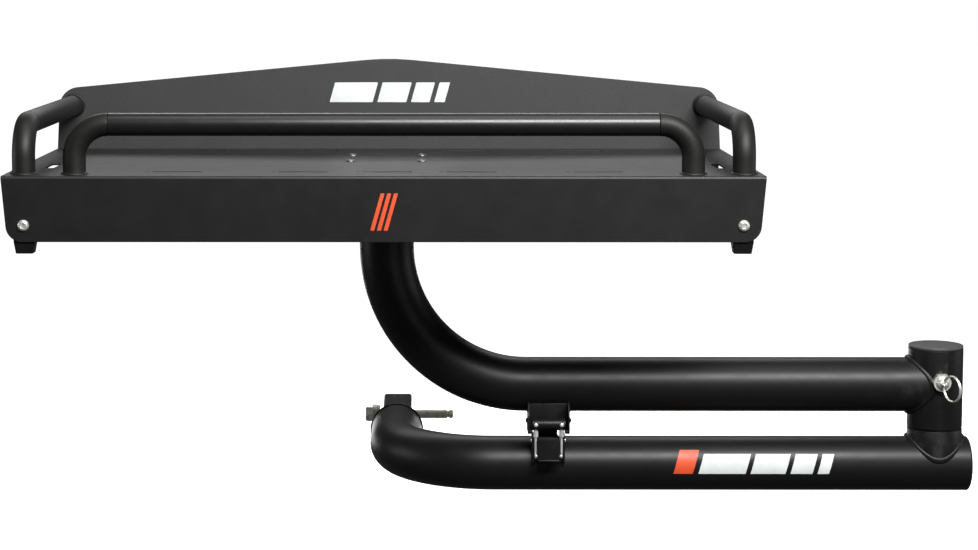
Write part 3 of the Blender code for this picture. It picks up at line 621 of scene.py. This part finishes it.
def button_head(radius, height, shank, length):
    """Profile of a button head screw with a hexagon socket."""
    key = 0.5 * radius
    dome = [(radius * math.sin(angle), 0.8 + (height - 0.8) * math.cos(angle))
            for angle in np.linspace(math.radians(42), math.radians(90), 8)]
    return ([(0, height - 2.6, 1), (key, height - 2.6, 1), (key, height - 0.9, 1),
             (key * 1.08, height - 0.35, 0.5), (key * 1.18, dome[0][1] + 0.02, 0)]
            + [(*point, 0) for point in dome]
            + [(radius, 0, 0), (shank, 0, 0), (shank, -length, 0), (0, -length, 0)])


def nut(inner, outer, thickness, base, axis):
    """A hexagon nut or a nut-like collar with chamfered corners."""
    half = 0.16 * outer
    profile = [(inner, 0, 0), (outer * 0.9, 0, 0), (outer, half, 1),
               (outer, thickness - half, 1), (outer * 0.9, thickness, 0),
               (inner + 0.6, thickness, 0), (inner, thickness - 0.6, 0)]
    return turned(profile, base, axis, 48, loop=True)


def screw(name, seat, axis, radius, shank, length, node, finish=ZINC, height=6.4):
    work = turned(button_head(radius, height, shank, length), seat, axis)
    return piece(work, name, "swing_arm", finish, [node])


# ---- lower arm

def lower_arm():
    body, edge = "lower_arm", 3.2
    path = bent([(LOWER_END - edge, ARM_Y, 0), (0, ARM_Y, 0), (0, RING_BACK, 0)], LOWER_BEND)
    rows = rings_along(path, ARM_R, Z)
    closing = [(ARM_R - edge + edge * math.cos(angle), -edge + edge * math.sin(angle))
               for angle in np.linspace(0, math.pi / 2, 7)]
    closing += [((ARM_R - edge) * share, 0) for share in (0.66, 0.33, 0.0)]
    end = np.array((LOWER_END, ARM_Y, 0))
    close = [end + X * height + size * spun(full_turn(ARM_SIDES), -Y, Z)
             for size, height in closing]
    close = [row[match_ring(rows[0], close[0])] for row in close]
    piece(loft(close[::-1][:-1] + rows), "lower_arm_skin", body, BLACK,
          ["lower_arm_tube", "lower_arm_end_cap"])

    hole = rounded(oblong(SHANK_HALF, SHANK_HALF), 4.0)
    plate = flat(circle((0, 0), ARM_R, ARM_SIDES), [hole], RING_PLATE, 1.0)
    middle = RING_BACK + RING_PLATE / 2
    piece(remap(plate, lambda x, y, z: (x, middle + z, y)), "shank_end_ring", body, BLACK,
          ["shank_end_plate"], even=True)
    face = np.array((0, RING_BACK + RING_PLATE + 0.4, 0))
    seam = densified(np.array([(x, face[1], z) for x, z in hole + hole[:1]]), 1.2)
    piece(merge(bead(seam, unit(seam - face), Y, 4.6, 4.2),
                ring_bead((0, RING_BACK, 0), Y, ARM_R - 0.7, 3.0)),
          "shank_welds", body, BLACK, crisp=60)

    inner = SHANK_HALF - SHANK_WALL
    shank = flat(rounded(oblong(SHANK_HALF, SHANK_HALF), 5.0, 12.0),
                 [rounded(oblong(inner, inner), 2.0, 12.0)], SHANK_TIP - SHANK_BACK, 0.9)
    centre = (SHANK_BACK + SHANK_TIP) / 2
    shank = keep(remap(shank, lambda x, y, z: (x, centre + z, y)), "shank_bar", SHANK)
    bored(shank, rod(PIN_HOLE, -70, 70, (0, 0, 0), X, 40))
    piece(shank, "shank_bar", body, SHANK, ["shank_tube"])


def match_ring(ring, other):
    """Order of the other ring's points that lines it up with the first ring."""
    here, there = ring - ring.mean(axis=0), other - other.mean(axis=0)
    return np.array([int(np.argmin(np.linalg.norm(there - point, axis=1))) for point in here])


def densified(points, step):
    """Points along a line, none further apart than the step."""
    made = [points[0]]
    for first, second in zip(points, points[1:]):
        count = max(1, math.ceil(np.linalg.norm(second - first) / step))
        made += [first + (second - first) * number / count for number in range(1, count + 1)]
    return np.array(made)


def pivot_post():
    lower, swing = "lower_arm", "swing_arm"
    foot = coped(POST, Z, X)
    out = spun(full_turn(ARM_SIDES), X, Y)
    top = [(ARM_R, SPLIT_Z - 0.9), (ARM_R - 0.25, SPLIT_Z - 0.25), (ARM_R - 0.9, SPLIT_Z),
           (20, SPLIT_Z), (0, SPLIT_Z)]
    rows = foot + [POST + radius * out + height * Z for radius, height in top]
    piece(loft(rows), "pivot_stub_skin", lower, BLACK, ["pivot_stub"])
    piece(saddle_bead(POST, Z, X), "pivot_saddle_weld", lower, BLACK, crisp=60)

    sleeve = keep(band(39.0, ARM_R, SLEEVE_LOW, SLEEVE_TOP - 0.4, POST, Z, 0.9, 4, ARM_SIDES),
                  "pivot_sleeve_skin", BLACK)
    bored(sleeve, rod(9.4, 30, 60, POST + LOCK_Z * Z, -Y, 32))
    piece(sleeve, "pivot_sleeve_skin", swing, BLACK, ["pivot_sleeve"])
    piece(rod(ARM_R - 0.2, CAP_TOP, SLEEVE_TOP - 0.2, POST, Z, ARM_SIDES, 1.6, 5),
          "pivot_cap_disc", swing, CAP_COAT_PAINTED_LIGHT, ["pivot_cap"])
    piece(band(30.4, ARM_R - 1.8, SPLIT_Z + 0.2, SLEEVE_LOW - 0.2, POST, Z, 0.4, 3, 64),
          "thrust_ring", lower, BRONZE_PAINTED_SHADE, ["thrust_washer"])


# ---- lock pin

def lock_pin():
    base = POST + LOCK_Z * Z
    collar = [(6.5, 36, 0), (14.0, 36, 0), (15.6, 39, 1), (15.6, 52.4, 1), (14.2, 54, 0),
              (7.4, 54, 0), (6.5, 53.2, 0)]
    piece(turned(collar, base, -Y, 60, loop=True), "lock_pin_nut", "swing_arm", ZINC,
          ["lock_pin_housing"])
    barrel = eased([(0, 25.2), (4, 25.2), (6, 27), (6, 54.4), (10, 54.4), (10, 57.6),
                    (8.4, 59.6), (5.2, 60.2), (3.4, 61.0), (3.2, 62.0), (0, 62.0)], 0.5, 3)
    angle, droop = math.radians(64), math.radians(13)
    outward = X * math.cos(angle) - Y * math.sin(angle)
    to_centre = outward * math.cos(droop) - Z * math.sin(droop)
    hinge = unit(Z - to_centre * (Z @ to_centre))
    face = base - 60.1 * Y
    cut_marks = [block(face - size, face + size, 0.3, 2)
                 for size in np.array(((4.8, 0.5, 0.6), (0.6, 0.5, 4.8)))]
    eye = torus(RING_EYE, hinge, 4.1, 1.8, 40, 16)
    piece(merge(turned(barrel, base, -Y, 48), eye, *cut_marks), "lock_pin_plunger",
          "lock_pin", ZINC, ["lock_pin"])

    normal = np.cross(hinge, to_centre)
    turns, steps, wire = 1.92, 200, 1.35
    t = np.linspace(0, math.tau * turns, steps + 1)
    lift = 1.2 * np.tanh((t - t.mean()) * 1.4)
    spokes = spun(t, -to_centre, hinge)
    line = RING_EYE + RING_R * (to_centre + spokes) + lift[:, None] * normal
    rows = [point + wire * spun(full_turn(12), spoke, normal)
            for point, spoke in zip(line, spokes)]
    piece(loft(rows), "lock_split_ring", "lock_ring", ZINC, ["lock_ring"], crisp=60)


def torus(centre, axis, major, minor, count, sides):
    axis, u, v = square_to(axis)
    return loft([centre + major * out + minor * spun(full_turn(sides), out, axis)
                 for out in spun(full_turn(count), u, v)], wrap=True)


# ---- upper arm

def upper_arm():
    body = "swing_arm"
    top = DECK_TOP - SHEET - RISER_PLATE - 0.2
    origin = POST + UPPER_Z * Z
    path = bent([(800, ARM_Y, UPPER_Z), (TRAY_X, ARM_Y, UPPER_Z), (TRAY_X, ARM_Y, top)],
                UPPER_BEND)
    rows = rings_along(path, ARM_R, Y)
    close = coped(origin, -X, Z)
    order = match_ring(rows[0][:, 1:], close[-1][:, 1:])
    close = [row[order] for row in close]
    piece(loft(close + rows), "upper_arm_skin", body, BLACK, ["upper_arm_tube"])
    welds = merge(saddle_bead(origin, -X, Z),
                  ring_bead((TRAY_X, ARM_Y, top + 0.2), Z, ARM_R + 0.6, 5.5))
    piece(welds, "upper_arm_welds", body, BLACK, crisp=60)

    spots = [(sx * RISER_BOLTS, sy * RISER_BOLTS) for sx in (-1, 1) for sy in (-1, 1)]
    plate = flat(rounded(oblong(RISER_HALF, RISER_HALF), 12.0),
                 [circle(spot, 5.1) for spot in spots], RISER_PLATE, 0.9)
    middle = DECK_TOP - SHEET - GAP - RISER_PLATE / 2
    piece(remap(plate, lambda x, y, z: (TRAY_X + x, ARM_Y + y, middle + z)), "riser_plate", body,
          BLACK, ["riser_flange"], even=True)
    names = ("front_left", "back_left", "front_right", "back_right")
    under = middle - RISER_PLATE / 2
    nuts = []
    for name, (sx, sy) in zip(names, spots):
        seat = (TRAY_X + sx, ARM_Y + sy, DECK_TOP)
        screw(f"flange_screw_{name}", seat, Z, 7.4, 4.7, 24, f"flange_bolt_{name}", DULL, 4.2)
        low = np.array((TRAY_X + sx, ARM_Y + sy, under))
        nuts += [band(5.0, 11.0, 0, 1.6, low - 1.6 * Z, Z),
                 nut(4.7, 9.4, 8.0, low - 1.6 * Z, -Z)]
    piece(merge(*nuts), "riser_nuts", body, ZINC)


# ---- tray

def tapered(height):
    return TRAY_HALF - (DECK_TOP - height) * TAPER


def unfolded(height, end):
    """Where a height on the front or rear flap lies on the flat sheet."""
    reach = FOLD_LENGTH + FOLD_Z - height
    return TRAY_FRONT + FOLD - reach if end < 0 else TRAY_BACK - FOLD + reach


def fold(x, s, t):
    """Fold the flat sheet: its flaps hang down at the front and the back."""
    t -= SHEET / 2
    for end, edge in ((-1, TRAY_FRONT), (1, TRAY_BACK)):
        start = edge - end * FOLD
        beyond = (s - start) * end
        if beyond <= 0:
            continue
        if beyond < FOLD_LENGTH:
            angle = beyond / FOLD
            return (TRAY_X + x, start + end * (FOLD + t) * math.sin(angle),
                    FOLD_Z + (FOLD + t) * math.cos(angle))
        return TRAY_X + x, edge + end * t, FOLD_Z - (beyond - FOLD_LENGTH)
    return TRAY_X + x, s, DECK_TOP + t


def tray_sheet():
    low = APRON_BOTTOM
    right = [(tapered(low), unfolded(low, -1)), (TRAY_HALF, unfolded(FOLD_Z, -1)),
             (TRAY_HALF, unfolded(FOLD_Z, 1)), (tapered(low), unfolded(low, 1))]
    outline = rounded(right + [(-x, s) for x, s in right[::-1]], [25, 0, 0, 25] * 2, 6.0)
    holes = []
    for row in SLOT_ROWS:
        for offset in SLOT_PLACES:
            holes += [slot_hole((offset + 5, row), 78, 12), circle((offset - 41, row), 3.8, 20)]
    for side in (-1, 1):
        holes += [slot_hole((side * 522, -550), 14, 84), circle((side * 522, -455), 4.5, 20)]
        holes += [circle((side * RISER_BOLTS, ARM_Y + end * RISER_BOLTS), 5.0, 20)
                  for end in (-1, 1)]
        holes += [circle((side * FOOT_X, unfolded(FOOT_BOLT_Z, end)), 4.4, 20)
                  for end in (-1, 1)]
        holes.append(circle((side * PANEL_BOLT_X, unfolded(PANEL_BOLT_Z, 1)), 4.4, 20))
    work = flat(outline, holes, SHEET, 0.5)
    creases = [TRAY_FRONT + FOLD - FOLD_LENGTH * part / 7 for part in range(8)]
    creases += [TRAY_BACK - FOLD + FOLD_LENGTH * part / 7 for part in range(8)]
    for crease in creases:
        everything = list(work.verts) + list(work.edges) + list(work.faces)
        bmesh.ops.bisect_plane(work, geom=everything, plane_co=(0, crease * MM, 0),
                               plane_no=(0, 1, 0), dist=1e-7)
    remap(work, fold)
    sheet = piece(work, "tray_sheet", "swing_arm", SHEETS,
                  ["deck_plate", "front_fascia", "rear_apron"], crisp=28, even=True)
    sheet.data.materials.append(BLACK)
    front, back = (TRAY_FRONT + 2 * FOLD) * MM, (TRAY_BACK - 2 * FOLD) * MM
    for face in sheet.data.polygons:
        if front < face.center.y < back and abs(face.normal.z) < 0.7:
            face.material_index = 1          # cut edges of the deck's holes take the duller black: painted shade in the holes


def end_aprons():
    front, back = TRAY_FRONT + SHEET, TRAY_BACK - SHEET
    slope = math.hypot(1, TAPER)
    for name, side in SIDES:
        tall = (DECK_TOP - SHEET - END_BOTTOM) * slope
        outline = rounded([(front, 0), (back, 0), (back, tall), (front, tall)], [7, 7, 0, 0])
        work = flat(outline, [], SHEET, 0.5)

        def place(y, up, t, side=side):
            height = END_BOTTOM + up / slope
            return TRAY_X + side * (tapered(height) - 0.5 - SHEET / 2 + t), y, height
        remap(work, place)
        seams = []
        for y in (front + 0.2, back - 0.2):
            line = densified(np.array([(TRAY_X + side * (tapered(z) - 1.6), y, z)
                                       for z in (END_BOTTOM + 4, DECK_TOP - SHEET)]), 1.0)
            seams.append(bead(line, X, Y, 1.9, 1.9, closed=False))
        line = densified(np.array([(TRAY_X + side * (TRAY_HALF - 1.6), y, DECK_TOP - SHEET - 0.6)
                                   for y in (front, back)]), 1.4)
        seams.append(bead(line, X, Z, 1.5, 1.2, closed=False))
        piece(work, f"end_apron_{name}_sheet", "swing_arm", SHEETS,
              [f"end_apron_{name}"], even=True)
        piece(merge(*seams), f"end_apron_{name}_welds", "swing_arm", SHEETS, crisp=60)


def back_panel():
    shoulder = TRAY_HALF - (SHOULDER_Z - DECK_TOP) * math.tan(math.radians(3))
    half = [(tapered(PANEL_LOW), PANEL_LOW), (TRAY_HALF, DECK_TOP), (shoulder, SHOULDER_Z)]
    corners = half + [(0, PEAK_Z)] + [(-x, z) for x, z in half[::-1]]
    outline = rounded(corners, [20, 40, 35, 400, 35, 40, 20], 4.0)
    holes = [circle(spot, 4.4, 20) for side in (-1, 1)
             for spot in ((side * FOOT_X, FOOT_BOLT_Z), (side * PANEL_BOLT_X, PANEL_BOLT_Z),
                          (side * SIDE_HALF, RAIL_Z))]
    work = flat(outline, holes, SHEET, 0.55)
    middle = PANEL_REAR - SHEET / 2
    remap(work, lambda x, z, t: (TRAY_X + x, middle + t, z))
    piece(work, "back_panel_sheet", "swing_arm", PANEL_COAT_PAINTED_LIGHT, ["back_panel"], even=True)


# ---- rails

def rails():
    body = "swing_arm"
    seam = FRONT_HALF - RAIL_SEAM

    def bar(name, start, axis, length, node, finish):
        work = rod(RAIL_R, SEAM_EASE, length - SEAM_EASE, start, axis, 64, 0.8)
        piece(work, name, body, finish, [node])

    bar("front_rail_tube", (TRAY_X - seam, RAIL_Y, RAIL_Z), X, 2 * seam, "front_rail_bar", SATIN)
    welds = []
    for name, side in SIDES:
        front_x, side_x = TRAY_X + side * FRONT_HALF, TRAY_X + side * SIDE_HALF
        reach = RAIL_SEAM - SEAM_EASE
        routes = (("front", [(front_x, RAIL_Y, DECK_TOP - 0.5), (front_x, RAIL_Y, RAIL_Z),
                             (front_x - side * reach, RAIL_Y, RAIL_Z)], Y),
                  ("side", [(side_x, RAIL_Y, DECK_TOP - 0.5), (side_x, RAIL_Y, RAIL_Z),
                            (side_x, RAIL_Y + reach, RAIL_Z)], X))
        for kind, corners, normal in routes:
            path = bent(corners, RAIL_BEND)
            rows = rings_along(path, RAIL_R, normal, 64)
            away, middle = unit(path[-1] - path[-2]), path[-1]
            rows[-1] = middle - away * 0.8 + (rows[-1] - middle)
            rows.append(middle - away * 0.2 + (rows[-1] - middle + away * 0.8) * 0.984)
            rows.append(middle + (rows[-1] - middle + away * 0.2) * 0.965)
            piece(loft(rows), f"{kind}_rail_bend_{name}", body, MATT,
                  [f"{kind}_rail_elbow_{name}"])
            welds.append(ring_bead((corners[0][0], RAIL_Y, DECK_TOP), Z, RAIL_R + 0.4, 3.0, 110))
        start = (side_x, RAIL_Y + RAIL_SEAM, RAIL_Z)
        bar(f"side_rail_tube_{name}", start, Y, TRAY_BACK - RAIL_Y - RAIL_SEAM,
            f"side_rail_bar_{name}", BLACK)
        welds.append(ring_bead((side_x, TRAY_BACK, RAIL_Z), Y, RAIL_R + 0.2, 2.4, 110))
        screw(f"rail_screw_{name}", (side_x, PANEL_REAR, RAIL_Z), Y, 9.0, 4.3, 20,
              f"rail_bolt_{name}")
    piece(merge(*welds), "rail_welds", body, MATT, crisp=60)


# ---- feet and tray screws

def feet():
    body = "swing_arm"
    wide, narrow, low = 15.8, 13.3, 385.4
    levels = [(narrow - 1.0, low), (narrow - 0.2, low + 0.3), (narrow, low + 1.0),
              (narrow + 0.4, low + 3.9), (narrow + 0.1, low + 4.2), (narrow + 0.2, low + 4.7),
              (narrow + 0.6, low + 5.0), (wide - 0.3, APRON_BOTTOM - 2.5),
              (wide, APRON_BOTTOM - 0.5), (wide, 449), (wide - 1.2, 450)]
    ends = (("front", TRAY_FRONT + SHEET + wide, -1, TRAY_FRONT, 3.0),
            ("back", TRAY_BACK - SHEET - wide, 1, PANEL_REAR, 6.3))
    for end, centre_y, facing, seat_y, grip in ends:
        for name, side in SIDES:
            centre_x = TRAY_X + side * FOOT_X
            rows = [[(x, y, height) for x, y in
                     rounded(oblong(half, half, centre_x, centre_y), 2.4, 15.0)]
                    for half, height in levels]
            piece(loft(rows), f"foot_{end}_{name}_pad", body, RUBBER, [f"foot_{end}_{name}"])
            seat = (centre_x, seat_y, FOOT_BOLT_Z)
            screw(f"foot_screw_{end}_{name}", seat, facing * Y, 8.75, 3.9, grip + 16,
                  f"foot_bolt_{end}_{name}")


def panel_screws():
    nuts = []
    for name, side in SIDES:
        x = TRAY_X + side * PANEL_BOLT_X
        screw(f"panel_screw_{name}", (x, PANEL_REAR, PANEL_BOLT_Z), Y, 8.0, 3.9, 16,
              f"panel_bolt_{name}")
        base = np.array((x, TRAY_BACK - SHEET, PANEL_BOLT_Z))
        nuts += [band(4.0, 8.6, 0, 1.2, base, -Y), nut(3.9, 7.4, 6.0, base - 1.2 * Y, -Y)]
    piece(merge(*nuts), "panel_nuts", "swing_arm", ZINC)


# ---- rest and latch

def arm_rest():
    body = "lower_arm"
    low, high = (LATCH_X - 16.5, ARM_Y - 20, 30), (LATCH_X + 16.5, ARM_Y + 20, 72)
    foot = rounded(oblong(16.5, 20, LATCH_X, ARM_Y), 1.5)
    line = densified(np.array([(x, y, 0.0) for x, y in foot + foot[:1]]), 1.2)
    out = unit(line - np.array((LATCH_X, ARM_Y, 0)))
    line[:, 2] = np.sqrt(ARM_R ** 2 - (line[:, 1] - ARM_Y) ** 2)
    piece(merge(block(low, high, 1.2), bead(line, out, Z, 3.0, 2.6)), "arm_rest_post", body,
          BLACK, ["arm_rest_block"])
    slabs = [block((low[0] + 0.5, low[1] + 0.5, bottom), (high[0] - 0.5, high[1] - 0.5, top), 0.9)
             for bottom, top in ((72.1, 77.4), (81.6, 86.6))]
    core = block((low[0] + 1.8, low[1] + 1.8, 74), (high[0] - 1.8, high[1] - 1.8, 84), 0.9)
    piece(merge(core, *slabs), "arm_rest_cushion", body, RUBBER, ["arm_rest_pad"])


def side_plate(corners, radii, centre_x, thickness):
    """A plate across X from an outline in Y and Z."""
    work = flat(rounded(corners, radii, 12.0), (), thickness, 0.5)
    return remap(work, lambda y, z, t: (centre_x + t, y, z))


def rivet(base, axis, radius, height, reach):
    """A domed head with a stub that reaches into its seat."""
    dome = [(radius * math.sin(a), height * math.cos(a)) for a in np.linspace(0, math.pi / 2, 7)]
    return turned(dome + [(radius, -0.2), (radius * 0.6, -0.2), (radius * 0.6, -reach - 0.3),
                          (0, -reach - 0.3)], base, axis, 28)


def latch_base():
    half, ear = 26.9, 3.5
    ears = []
    for side in (-1, 1):
        middle = LATCH_X + side * (half - ear / 2)
        ears.append(side_plate([(-470, 10), (-440, 10), (-440, 50), (-446, 58), (-470, 58)],
                               [4, 2, 4, 5, 7.5], middle, ear))
    bridge = block((LATCH_X - half + 1, -454, 12), (LATCH_X + half - 1, -440, 38), 1.5)
    piece(merge(bridge, *ears), "latch_bracket", "lower_arm", BLACK, ["latch_base"])
    reach = half + 0.2
    pins = [rivet(HANDLE_AXIS + side * reach * X, side * X, 4.0, 1.9, 3) for side in (-1, 1)]
    shaft = rod(2.5, -reach, reach, HANDLE_AXIS, X)
    piece(merge(shaft, *pins), "latch_pivot_rivet", "lower_arm", ZINC, ["latch_pivot_pin"])


def latch_handle():
    half, front, back, low, high = 18.2, -480.0, -475.4, 16.0, 54.0
    corners = oblong(half, (high - low) / 2, 0, (high + low) / 2)
    face = flat(rounded(corners, [3, 3, 5, 5], 12.0), [], 2.4, 0.6)
    remap(face, lambda x, z, t: (LATCH_X + x, front + 1.2 + t, z))
    cheeks = [block((LATCH_X + side * (half - 1.2) - 1.2, front + 0.4, low + 3),
                    (LATCH_X + side * (half - 1.2) + 1.2, back, high - 2), 0.7)
              for side in (-1, 1)]
    left, right = LATCH_X - half + 1, LATCH_X + half - 1
    lip = block((left, front - 6, low + 0.2), (right, front + 1, low + 3.6), 1.3)
    web = block((left, front + 1, 44), (right, -464, 52), 1.2)
    barrels = [rod(size, -half, half, axis, X, 32, 0.7)
               for axis, size in ((HANDLE_AXIS, 5.5), (BAIL_AXIS, 4.4))]
    piece(merge(face, lip, web, *cheeks, *barrels), "latch_lever", "latch_handle", BLACK,
          ["latch_handle"])


def latch_bail():
    top = np.array((LATCH_X, BAIL_AXIS[1], CROSSBAR_Z))
    half, size = 27.4, CROSSBAR_R
    bar = rod(size, -half, half, top, X, 40, 1.5, 4)
    collars = [band(size - 1, size + 0.5, -1.2, 1.2, top + at * X, X, 0.5, 3, 40)
               for at in (-8, 8)]
    piece(merge(bar, *collars), "latch_crossbar", "latch_bail", BLACK, ["latch_bail"])
    steel = []
    for side in (-1, 1):
        foot = BAIL_AXIS + side * ROD_X * X
        length = CROSSBAR_Z - foot[2]
        steel += [rod(2, -2, length, foot, Z, 24, 0.4), torus(foot, X, 3.2, 1.3, 28, 10),
                  nut(2.1, 4.4, 10.0, foot + (length - size - 12) * Z, Z),
                  rivet(top + side * ROD_X * X - (size - 0.3) * Y, -Y, 3.4, 1.6, 2)]
    steel.append(rod(1.9, -ROD_X, ROD_X, BAIL_AXIS, X, 20))
    piece(merge(*steel), "latch_rods", "latch_bail", STEEL)


def latch_keepers():
    peg_top, cheek_inside, cheek_sheet = CROSSBAR_Z - CROSSBAR_R - 0.4, 31.3, 2.5
    outside = cheek_inside + cheek_sheet
    for name, side in SIDES:
        middle = LATCH_X + side * (cheek_inside + cheek_sheet / 2)
        cheek = side_plate([(-484, 61), (-434, 61), (-434, 104), (-468, 112), (-484, 92)],
                           [6, 4, 3, 6, 8], middle, cheek_sheet)
        x0, x1 = sorted((LATCH_X + side * 26.0, LATCH_X + side * 32.3))
        peg = block((x0, -481, 61.5), (x1, -467, peg_top), 1.0)
        knob, stud = ((LATCH_X + side * outside, y, z) for y, z in ((-465, 81), (-476, 99)))
        parts = [cheek, peg, rivet(knob, side * X, 4.5, 3.6, 2),
                 rivet(stud, side * X, 2.6, 1.4, 2)]
        piece(merge(*parts), f"latch_cheek_{name}", "swing_arm", BLACK, [f"latch_keeper_{name}"])
    bridge = block((LATCH_X - 32, -450, 61), (LATCH_X + 32, -441, 106), 1.2)
    piece(bridge, "latch_cheek_bridge", "swing_arm", BLACK)


# ---- hitch pin

def hitch_pin():
    body = "hitch_pin"
    profile = [(0, -58.6, 0), (11.6, -58.6, 0), (14, -57.2, 1), (14, -46, 1), (17.2, -46, 0),
               (17.5, -45.6, 0), (17.5, -37.0, 0), (17.0, -36.3, 0), (7.95, -36.3, 0),
               (7.95, 90, 0), (6.4, 90.6, 0), (6, 91.4, 0), (6, 93.4, 0), (6.4, 94.2, 0),
               (7.95, 94.8, 0), (7.95, 99.2, 0), (5.6, 101.7, 0), (0, 101.7, 0)]
    piece(turned(profile, (0, 0, 0), X, 60), "hitch_pin_turned", body, PIN_PLATE_PAINTED_LIGHT, ["hitch_pin"])
    piece(band(PIN_HOLE, 17.5, 0, 3.7, (-36.0, 0, 0), X), "hitch_pin_ring", body, PIN_PLATE_PAINTED_LIGHT,
          ["hitch_pin_washer"])


# ---- printed marks

def slanted(x0, x1, z0, z1):
    shift = LEAN * (z1 - z0) / 2
    return rounded([(x0 - shift, z0), (x1 - shift, z0), (x1 + shift, z1), (x0 + shift, z1)], 1.2)


def flat_mark(name, finish, bars, face_y):
    parts = [remap(flat(slanted(*bar), [], 2 * FILM, 0.04),
                   lambda x, z, t: (x, face_y - FILM + t, z)) for bar in bars]
    piece(merge(*parts), name, "swing_arm", finish)


def tube_mark(name, finish, bars):
    """Bars wrapped on the front of the lower arm; heights run along its surface."""
    parts = []
    for x0, x1, z0, z1 in bars:
        rows = []
        for radius in (ARM_R - 0.05, ARM_R + FILM):
            for z in (np.linspace(z0, z1, 17) if radius < ARM_R else np.linspace(z1, z0, 17)):
                angle = z / ARM_R
                shift = LEAN * (z - (z0 + z1) / 2)
                inset = 0.0 if radius < ARM_R else 0.1
                rows.append([(x, ARM_Y - radius * math.cos(angle), radius * math.sin(angle))
                             for x in np.linspace(x0 + shift + inset, x1 + shift - inset, 4)])
        parts.append(strip(rows))
    piece(merge(*parts), name, "lower_arm", finish, crisp=50)


def strip(rows):
    """A closed band from open rows that run round it, with its two ends filled."""
    work = bmesh.new()
    lines = [[work.verts.new(Vector(point) * MM) for point in row] for row in rows]
    for first, second in zip(lines, lines[1:] + lines[:1]):
        for index in range(len(first) - 1):
            work.faces.new((first[index], first[index + 1], second[index + 1], second[index]))
    for end in (0, -1):
        count = len(lines)
        for index in range(count // 2 - 1):
            work.faces.new((lines[index][end], lines[index + 1][end],
                            lines[count - 2 - index][end], lines[count - 1 - index][end]))
    return work


def row_of(widths, start, gap, low, high):
    """Bars of the given widths side by side."""
    bars = []
    for width in widths:
        bars.append((start, start + width, low, high))
        start += width + gap
    return bars


def marks():
    flat_mark("back_panel_bars", WHITE, row_of((74, 50, 32, 18), -110, 8, 583, 617),
              TRAY_BACK + GAP)
    flat_mark("front_bars", ORANGE, row_of((6, 6, 6), -25, 4, 421, 477), TRAY_FRONT)
    tube_mark("arm_bar_orange", ORANGE, [(460, 492, -9, 31)])
    tube_mark("arm_bars_white", WHITE, row_of((77, 57, 36, 19), 500, 8, -9, 24))


# ---- studio

def area_light(name, place, target, size, power):
    data = bpy.data.lights.new(name, "AREA")
    data.shape = "RECTANGLE"
    data.size, data.size_y = size
    data.energy = power
    light = placed(name, data)
    light.location = place
    light.rotation_euler = (Vector(target) - Vector(place)).to_track_quat("-Z", "Y").to_euler()
    light.visible_camera = False


def studio():
    bpy.context.scene.view_settings.view_transform = "Standard"
    reach, height = 40.0, -0.62
    mesh = bpy.data.meshes.new("floor")
    mesh.from_pydata([(x, y, height) for x, y in oblong(reach, reach)], [], [(0, 1, 2, 3)])
    floor = placed("floor", mesh)
    pale = bpy.data.materials.new("pale_floor")
    pale.use_nodes = True
    shader = pale.node_tree.nodes["Principled BSDF"]
    for socket, value in (("Base Color", (0.9, 0.9, 0.9, 1)), ("Roughness", 0.8),
                          ("Emission Color", (1, 1, 1, 1)), ("Emission Strength", 1.0)):
        shader.inputs[socket].default_value = value
    mesh.materials.append(pale)
    floor.visible_diffuse = False
    floor.visible_glossy = False

    world = bpy.data.worlds.new("studio")
    bpy.context.scene.world = world
    world.use_nodes = True
    tree = world.node_tree
    # the camera sees a white world; the object is lit by a dim one
    seen, dim = tree.nodes["Background"], tree.nodes.new("ShaderNodeBackground")
    for background, strength in ((seen, 1.0), (dim, 0.08)):
        background.inputs["Color"].default_value = (1, 1, 1, 1)
        background.inputs["Strength"].default_value = strength
    mix = tree.nodes.new("ShaderNodeMixShader")
    path = tree.nodes.new("ShaderNodeLightPath")
    tree.links.new(path.outputs["Is Camera Ray"], mix.inputs["Fac"])
    tree.links.new(dim.outputs["Background"], mix.inputs[1])
    tree.links.new(seen.outputs["Background"], mix.inputs[2])
    tree.links.new(mix.outputs["Shader"], tree.nodes["World Output"].inputs["Surface"])

    # name, place and target in metres, size in metres, power in watts
    for light in (("key", (1.1, -3.1, 2.6), (0.1, -0.42, 0.15), (2.6, 0.55), 270),
                  ("fill", (2.2, -4.3, 0.5), (0.2, -0.6, 0.4), (1.8, 1.8), 9),
                  ("top", (0.1, -0.9, 2.2), (0.0, -0.35, 0.5), (2.2, 0.9), 16),
                  ("back", (-0.1, 1.6, 1.95), (0.0, -0.6, 0.5), (2.8, 0.7), 24),
                  ("behind", (-0.2, 3.4, -0.34), (0.1, -0.3, 0.35), (4.4, 0.5), 30),
                  ("left", (-3.4, -0.3, 0.6), (0.0, -0.4, 0.3), (1.8, 1.2), 18),
                  ("right", (3.8, -0.3, 0.6), (0.3, -0.4, 0.3), (1.8, 1.2), 13)):
        area_light(*light)


for build in (lower_arm, pivot_post, lock_pin, upper_arm, tray_sheet, end_aprons, back_panel,
              rails, feet, panel_screws, arm_rest, latch_base, latch_handle, latch_bail,
              latch_keepers, hitch_pin, marks, studio):
    build()
